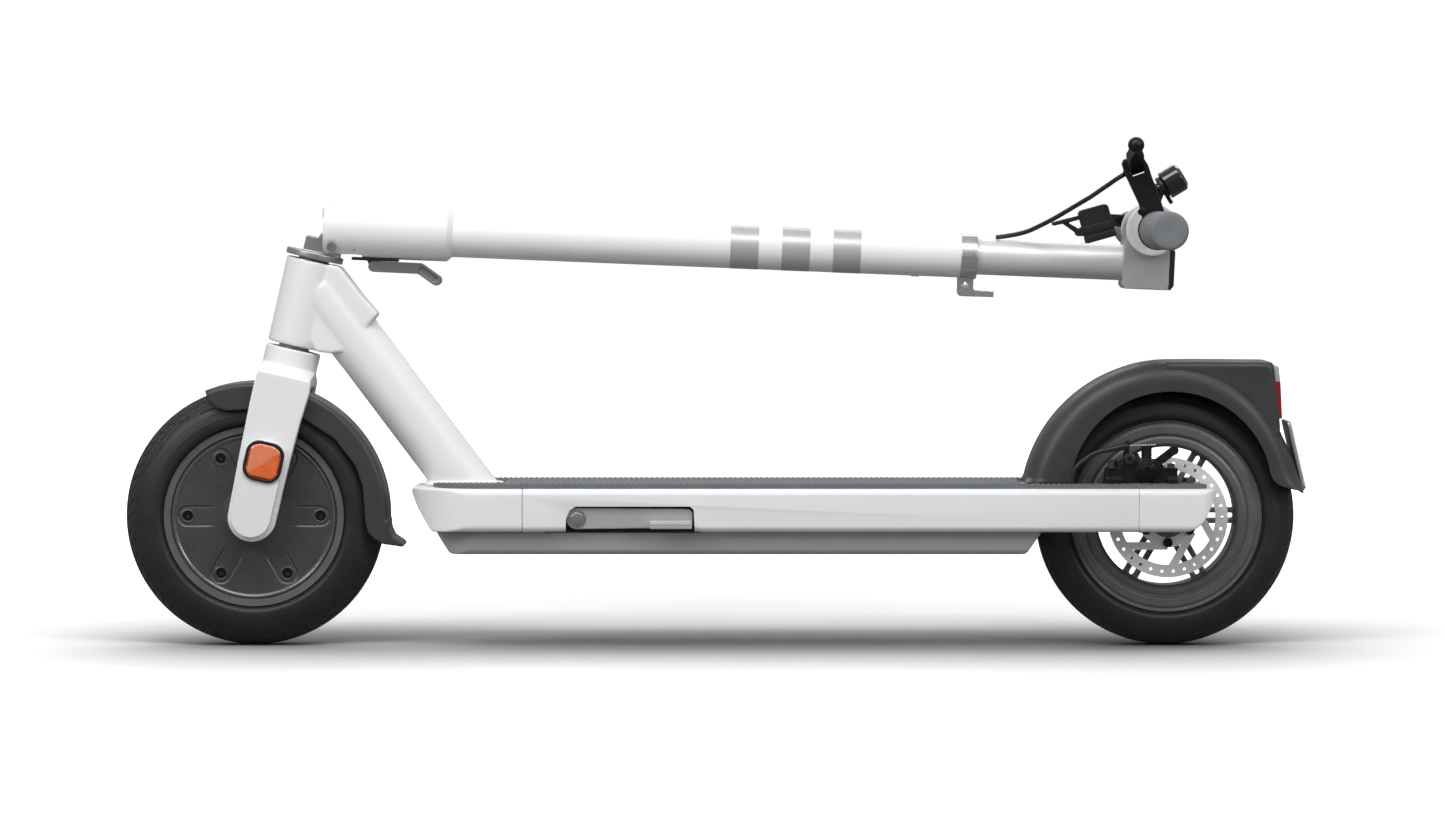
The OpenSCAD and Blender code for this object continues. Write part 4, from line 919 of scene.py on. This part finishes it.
# ------------------------------------------------------------ grips with rings, and their inner collars
for side, tag in ((-1, "left"), (1, "right")):
    prof = []
    y = 103.0
    prof += [(11.15, 101.0), (17.0, 101.0), (18.0, 101.8), (18.2, 103.0)]
    pitch = 3.0
    while y < 222:
        prof += [(17.35, y), (17.35, y + 0.7), (18.1, y + 1.2), (18.2, y + 1.9), (18.1, y + 2.5)]
        y += pitch
    prof += [(17.6, 223.0), (17.6, 226.0), (18.2, 226.8), (18.2, 232.6), (17.8, 233.9), (16.6, 234.8), (14.0, 235.0), (2.0, 235.0), (0.2, 234.6), (0.2, 232.2), (11.15, 232.1)]
    p2 = [(r, s * side) for r, s in prof]
    v, f = ybar(p2, ONBAR, 96)
    g = piece(f"grip_{tag}", v, f, "grip_rubber", "stem", deg=45)
    if side < 0:
        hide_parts("grips")
    ring = [(11.15, 96.8), (18.3, 96.8), (19.2, 97.6), (19.2, 100.2), (18.6, 100.9), (11.15, 100.9)]
    v, f = ybar([(r, s * side) for r, s in ring], ONBAR, 96)
    piece(f"grip_ring_{tag}", v, f, "black_plastic", "stem", deg=40)
    collar = [(11.2, 29.0), (25.1, 29.0), (25.35, 29.4), (25.35, 36.2), (24.9, 37.1), (24.0, 37.4), (21.0, 37.4), (20.4, 37.15), (11.2, 37.15)]
    v, f = ybar([(r, s * side) for r, s in collar], ONBAR, 128)
    piece(f"bar_collar_{tag}", v, f, "white_plastic", "stem", deg=40)

# ------------------------------------------------------------ kickstand bolt
KB = Matrix.Translation((-134, 0, 128)) @ rot("Y", 15)
hexa = [(6.6 * math.cos(math.radians(60 * k)), 6.6 * math.sin(math.radians(60 * k))) for k in range(6)]
vb, fb_ = prism(rounded(hexa, 0.9, 3), -80.0, -76.35, KB, 0.7, 4)
vw2, fw2 = ybar([(5.3, -76.9), (8.3, -76.9), (8.6, -76.6), (8.6, -76.3), (5.3, -76.3)], KB, 48)
vv, ff = merge((vb, fb_), (vw2, fw2))
piece("kickstand_bolt", vv, ff, "bolt_steel", "frame", deg=35)

# ------------------------------------------------------------ bands on the stem
for i, (z0, z1) in enumerate(((389.5, 417.3), (440.0, 467.6), (490.2, 517.5))):
    prof = [(21.0, z0), (21.22, z0 + 0.15), (21.26, z0 + 0.5), (21.26, z1 - 0.5), (21.22, z1 - 0.15), (21.0, z1)]
    v, f = lathe(prof, STEM @ Matrix.Translation((-15.75, 0, 0)), 128)
    piece(f"stem_band_{i + 1}", v, f, "band_silver", "stem", deg=40)

# ------------------------------------------------------------ brake cables
stem_pts = [(-101, -80, 766), (-97, -77, 760), (-93, -73, 755), (-86, -67, 746), (-79, -61, 737), (-72.5, -54, 727.5), (-66, -47, 718), (-59.5, -40, 708.5), (-53.5, -33, 699), (-48, -26, 689.5), (-43, -19, 680), (-39.6, -12.5, 670), (-37.3, -7, 660), (-35.5, -2.6, 650)]
v, f = tube(stem_pts, 2.3, STEM, 24, 5)
stem_cable = piece("stem_cable", v, f, "cable_black", "stem", deg=50)
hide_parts("stem_brake_cable")
rear_pts = [(347, -54, 157), (347.5, -54, 163), (348.5, -54.5, 169), (350.5, -55, 175), (354, -55.5, 179.5), (359, -56, 183.5), (365, -56.5, 188), (371, -57, 191), (378, -57, 193), (386, -57, 194.5), (394, -57, 196.5)]
v1, f1 = tube(rear_pts, 2.4, WORLD, 24, 5)
rear_cable = piece("rear_cable", v1, f1, "cable_black", "frame", deg=50)
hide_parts("rear_brake_cable")
FER = Matrix.Translation((394, -57, 196.5)) @ rot("Y", 82)
v2, f2 = lathe([(0.2, 0.0), (2.6, 0.0), (3.3, 0.4), (3.4, 1.2), (3.4, 7.6), (3.0, 8.6), (1.4, 9.0), (0.2, 9.0)], FER, 32)
piece("rear_cable_ferrule", v2, f2, "black_metal", "frame", deg=40)
WIRE = Matrix.Translation((402.9, -57, 197.8)) @ rot("Y", 88)
vw, fw_ = [], []
turns, steps = 26, 260
for s in range(steps + 1):
    z = 26.0 * s / steps
    for k in range(12):
        a = 2 * math.pi * k / 12
        r = 0.8 + 0.14 * math.cos(3 * a - z * 2.2)
        vw.append(put(WIRE, (r * math.cos(a), r * math.sin(a), z)))
for s in range(steps):
    for k in range(12):
        k2 = (k + 1) % 12
        fw_.append((s * 12 + k, s * 12 + k2, (s + 1) * 12 + k2, (s + 1) * 12 + k))
fw_.append(tuple(range(12)))
fw_.append(tuple(range(steps * 12, steps * 12 + 12)))
piece("rear_cable_wire", vw, fw_, "bolt_steel", "frame", deg=60)
lug = rounded([(396, 178), (403, 178), (403, 203), (399, 203)], 1.2)
v3, f3 = prism(lug, -53.8, -52.1, WORLD, 0.4)
lug2 = rounded([(399.5, 194.2), (402.8, 194.2), (402.8, 203), (399.5, 203)], 0.9)
v4, f4 = prism(lug2, -60, -53.8, WORLD, 0.4)
vv, ff = merge((v3, f3), (v4, f4))
piece("rear_cable_lug", vv, ff, "black_metal", "frame", deg=40)

# ------------------------------------------------------------ small pieces of the throttle and the caliper
THR = ONBAR @ Matrix.Translation((-4.3, 0, -47.1)) @ rot("Y", -18)
bands = []
for a0, a1 in ((0.6, 8.4), (10.4, 16.9)):
    out = rounded([(a0, -15.3), (a1, -15.3), (a1, 15.3), (a0, 15.3)], 1.0, 3)
    bands.append(prism(out, 59.6, 88.4, THR, 0.5, 3))
v, f = merge(*bands)
piece("throttle_bands", v, f, "black_plastic", "stem", deg=40)
CB = ONBAR @ Matrix.Translation((-9.2, 0, -23.7))
v, f = ybar([(0.2, 66.9), (1.7, 66.9), (1.7, 65.8), (3.4, 65.8), (3.8, 66.3), (3.8, 68.4), (0.2, 68.4)], CB, 40)
piece("throttle_clamp_bolt", v, f, "bolt_black", "stem", deg=40)
PIV = Matrix.Translation((420, 0, 173.6))
v, f = ybar([(0.2, -59.4), (2.6, -59.4), (2.7, -60.6), (5.2, -60.6), (5.9, -60.1), (6.1, -59.6), (8.0, -59.5), (8.6, -59.0), (8.6, -58.0), (0.2, -58.0)], PIV, 64)
piece("caliper_arm_cap", v, f, "bolt_black", "caliper_arm", deg=40)
bits = []
for x, y, z0, hh, rr in ((385.5, -53.5, 175.6, 7.6, 3.6), (443.5, -53.5, 175.8, 4.6, 3.6)):
    at_ = Matrix.Translation((x, y, z0))
    bits.append(lathe([(0.2, 0), (rr, 0), (rr, hh - 0.6), (rr - 0.6, hh), (1.9, hh), (1.8, hh - 1.6), (0.2, hh - 1.6)], at_, 40))
at_ = Matrix.Translation((420, -49.5, 183.2))
ribs = [(0.2, 0), (5.4, 0)]
for k in range(6):
    z = 1.5 + 2.0 * k
    ribs += [(5.4, z), (4.9, z + 0.4), (4.9, z + 0.9), (5.4, z + 1.3)]
ribs += [(5.4, 14.2), (4.6, 15.4), (2.6, 16.2), (0.2, 16.4)]
bits.append(lathe(ribs, at_, 48))
v, f = merge(*bits)
piece("caliper_bolts", v, f, "black_metal", "frame", deg=40)
POST = Matrix.Translation((403.5, 0, 185.0))
v, f = ybar([(0.2, -55.4), (2.0, -55.4), (2.1, -56.6), (4.6, -56.6), (5.4, -56.0), (5.6, -55.0), (5.6, -46.0), (0.2, -46.0)], POST, 48)
piece("caliper_post", v, f, "black_metal", "frame", deg=40)

# ------------------------------------------------------------ fork reflectors
def squircle(w, h, r, n=8):
    pts = []
    for cx, cz, a0 in ((w / 2 - r, h / 2 - r, 0), (-w / 2 + r, h / 2 - r, 90), (-w / 2 + r, -h / 2 + r, 180), (w / 2 - r, -h / 2 + r, 270)):
        for i in range(n + 1):
            a = math.radians(a0 + 90 * i / n)
            pts.append((cx + r * math.cos(a), cz + r * math.sin(a)))
    return pts


REFL = STEER @ Matrix.Translation((-0.3, 0, 56.5))
for side, tag in ((-1, "left"), (1, "right")):
    def ring_of(w, h, r, y):
        return [put(REFL, (x, y * side, z)) for x, z in squircle(w, h, r)]
    rings = [ring_of(38, 39.5, 13, 53.6), ring_of(38, 39.5, 13, 55.2), ring_of(37.4, 38.9, 12.7, 55.9), ring_of(36.4, 37.9, 12.3, 56.2), ring_of(33.4, 35.0, 11.2, 56.3), ring_of(32.4, 34.0, 10.8, 56.0), ring_of(32.0, 33.6, 10.6, 54.6)]
    n = len(rings[0])
    verts = [p for r in rings for p in r]
    faces = []
    for k in range(len(rings) - 1):
        for i in range(n):
            j = (i + 1) % n
            faces.append((k * n + i, k * n + j, (k + 1) * n + j, (k + 1) * n + i))
    faces.append(tuple(range(n)))
    faces.append(tuple(range((len(rings) - 1) * n, len(rings) * n)))
    bez = piece(f"reflector_bezel_{tag}", verts, faces, "black_plastic", "fork", deg=40)
    # lens: a polar grid with small prisms, in two fields divided by a slant; the upper left field is painted a lighter
    # pink, a painted reflection, and the rim alternates the two oranges in 12 degree sectors
    outl = squircle(31.6, 33.2, 10.4, 16)
    no = len(outl)
    kr = 34
    verts, faces = [], []
    for k in range(kr + 1):
        s = k / kr
        for x, z in outl:
            px, pz = x * s, z * s
            edge = (1 - s) * 16
            y = 57.0 - 0.9 * smoothstep(0.9, 1.0, s)
            field = (px - pz) * 0.7071     # over 0 is the lower right
            if 1.0 < edge:
                if field > 1.2:
                    y -= 0.35 * abs(math.sin((px + pz) * 0.7071 * math.pi / 1.9))
                elif field < -1.2:
                    y -= 0.12 * abs(math.sin((px + pz) * 0.7071 * math.pi / 3.2))
                else:
                    y -= 0.25
            verts.append(put(REFL, (px, y * side, pz)))
    for k in range(kr):
        for i in range(no):
            j = (i + 1) % no
            faces.append((k * no + i, k * no + j, (k + 1) * no + j, (k + 1) * no + i))
    inv = (STEER @ Matrix.Translation((-0.3, 0, 56.5))).inverted()

    def field_of(p, inv=inv):
        q = inv @ (p.center * 1000)
        e = max(abs(q.x) / 16.3, abs(q.z) / 17.1)
        f_ = (q.x - q.z) * 0.7071
        if e > 0.86:
            return 1 if int(math.degrees(math.atan2(q.z, q.x)) // 12) % 2 == 0 else 0
        if f_ > 1.0:
            return 0
        # upper left field: the lighter pink, a painted reflection
        return 2
    lens = piece(f"reflector_lens_{tag}", verts, faces, ["lens_orange", "lens_orange_deep", "lens_painted_reflection"], "fork", deg=25, face_mat=field_of)
    if side < 0:
        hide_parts("fork_reflectors")

# ------------------------------------------------------------ floor
fl = 8.0
verts, faces = [], []
prof = [(-9.0, 0.0), (9.0, 0.0)]
for y, z in prof:
    for x in (-9.0, 9.0):
        verts.append((x, y, z - 0.0002))
for i in range(len(prof) - 1):
    faces.append((2 * i, 2 * i + 1, 2 * i + 3, 2 * i + 2))
fm = new_mat("floor_white")
ft = fm.node_tree
ft.nodes.clear()
f_out = node(fm, "ShaderNodeOutputMaterial")
f_mix = node(fm, "ShaderNodeMixShader")
f_lp = node(fm, "ShaderNodeLightPath")
f_dim = node(fm, "ShaderNodeBsdfDiffuse")
f_dim.inputs["Color"].default_value = (0.20, 0.20, 0.20, 1)
f_see = node(fm, "ShaderNodeBsdfDiffuse")
f_see.inputs["Color"].default_value = (0.95, 0.95, 0.95, 1)
# the floor the camera sees also glows more with distance from the centre, which whitens the far floor; other rays see a
# dark grey floor
f_em = node(fm, "ShaderNodeEmission")
f_add = node(fm, "ShaderNodeAddShader")
f_tc = node(fm, "ShaderNodeTexCoord")
f_sp = node(fm, "ShaderNodeVectorMath", operation="LENGTH")
f_mr = node(fm, "ShaderNodeMapRange")
f_mr.inputs["From Min"].default_value = 0.55
f_mr.inputs["From Max"].default_value = 2.6
f_mr.inputs["To Min"].default_value = 0.0
f_mr.inputs["To Max"].default_value = 1.2
# the floor the camera sees is darkened by ambient occlusion near the scooter: a painted contact shadow
f_ao = node(fm, "ShaderNodeAmbientOcclusion", samples=16)
f_ao.inputs["Distance"].default_value = 0.34
f_pw = node(fm, "ShaderNodeMath", operation="POWER")
f_pw.inputs[1].default_value = 1.7
ft.links.new(f_ao.outputs["AO"], f_pw.inputs[0])
f_col = node(fm, "ShaderNodeValToRGB")
f_col.color_ramp.elements[0].color = (0.02, 0.02, 0.02, 1)
f_col.color_ramp.elements[1].color = (0.95, 0.95, 0.95, 1)
ft.links.new(f_pw.outputs[0], f_col.inputs[0])
ft.links.new(f_col.outputs[0], f_see.inputs["Color"])
ft.links.new(f_tc.outputs["Object"], f_sp.inputs[0])
ft.links.new(f_sp.outputs["Value"], f_mr.inputs["Value"])
ft.links.new(f_mr.outputs[0], f_em.inputs["Strength"])
ft.links.new(f_see.outputs[0], f_add.inputs[0])
ft.links.new(f_em.outputs[0], f_add.inputs[1])
ft.links.new(f_lp.outputs["Is Camera Ray"], f_mix.inputs["Fac"])
ft.links.new(f_dim.outputs[0], f_mix.inputs[1])
ft.links.new(f_add.outputs[0], f_mix.inputs[2])
ft.links.new(f_mix.outputs[0], f_out.inputs[0])
# the camera sees a white surround, the lighting keeps its own level
wt = scene.world.node_tree
w_out = [n for n in wt.nodes if n.type == "OUTPUT_WORLD"][0]
w_old = w_out.inputs["Surface"].links[0].from_socket
w_lp = wt.nodes.new("ShaderNodeLightPath")
w_white = wt.nodes.new("ShaderNodeBackground")
w_white.inputs["Color"].default_value = (1, 1, 1, 1)
w_white.inputs["Strength"].default_value = 1.05
w_mix = wt.nodes.new("ShaderNodeMixShader")
wt.links.new(w_lp.outputs["Is Camera Ray"], w_mix.inputs["Fac"])
wt.links.new(w_old, w_mix.inputs[1])
wt.links.new(w_white.outputs[0], w_mix.inputs[2])
wt.links.new(w_mix.outputs[0], w_out.inputs["Surface"])
me = bpy.data.meshes.new("floor")
me.from_pydata(verts, [], faces)
me.materials.append(fm)
for p in me.polygons:
    p.use_smooth = True
floor = bpy.data.objects.new("floor", me)
scene.collection.objects.link(floor)
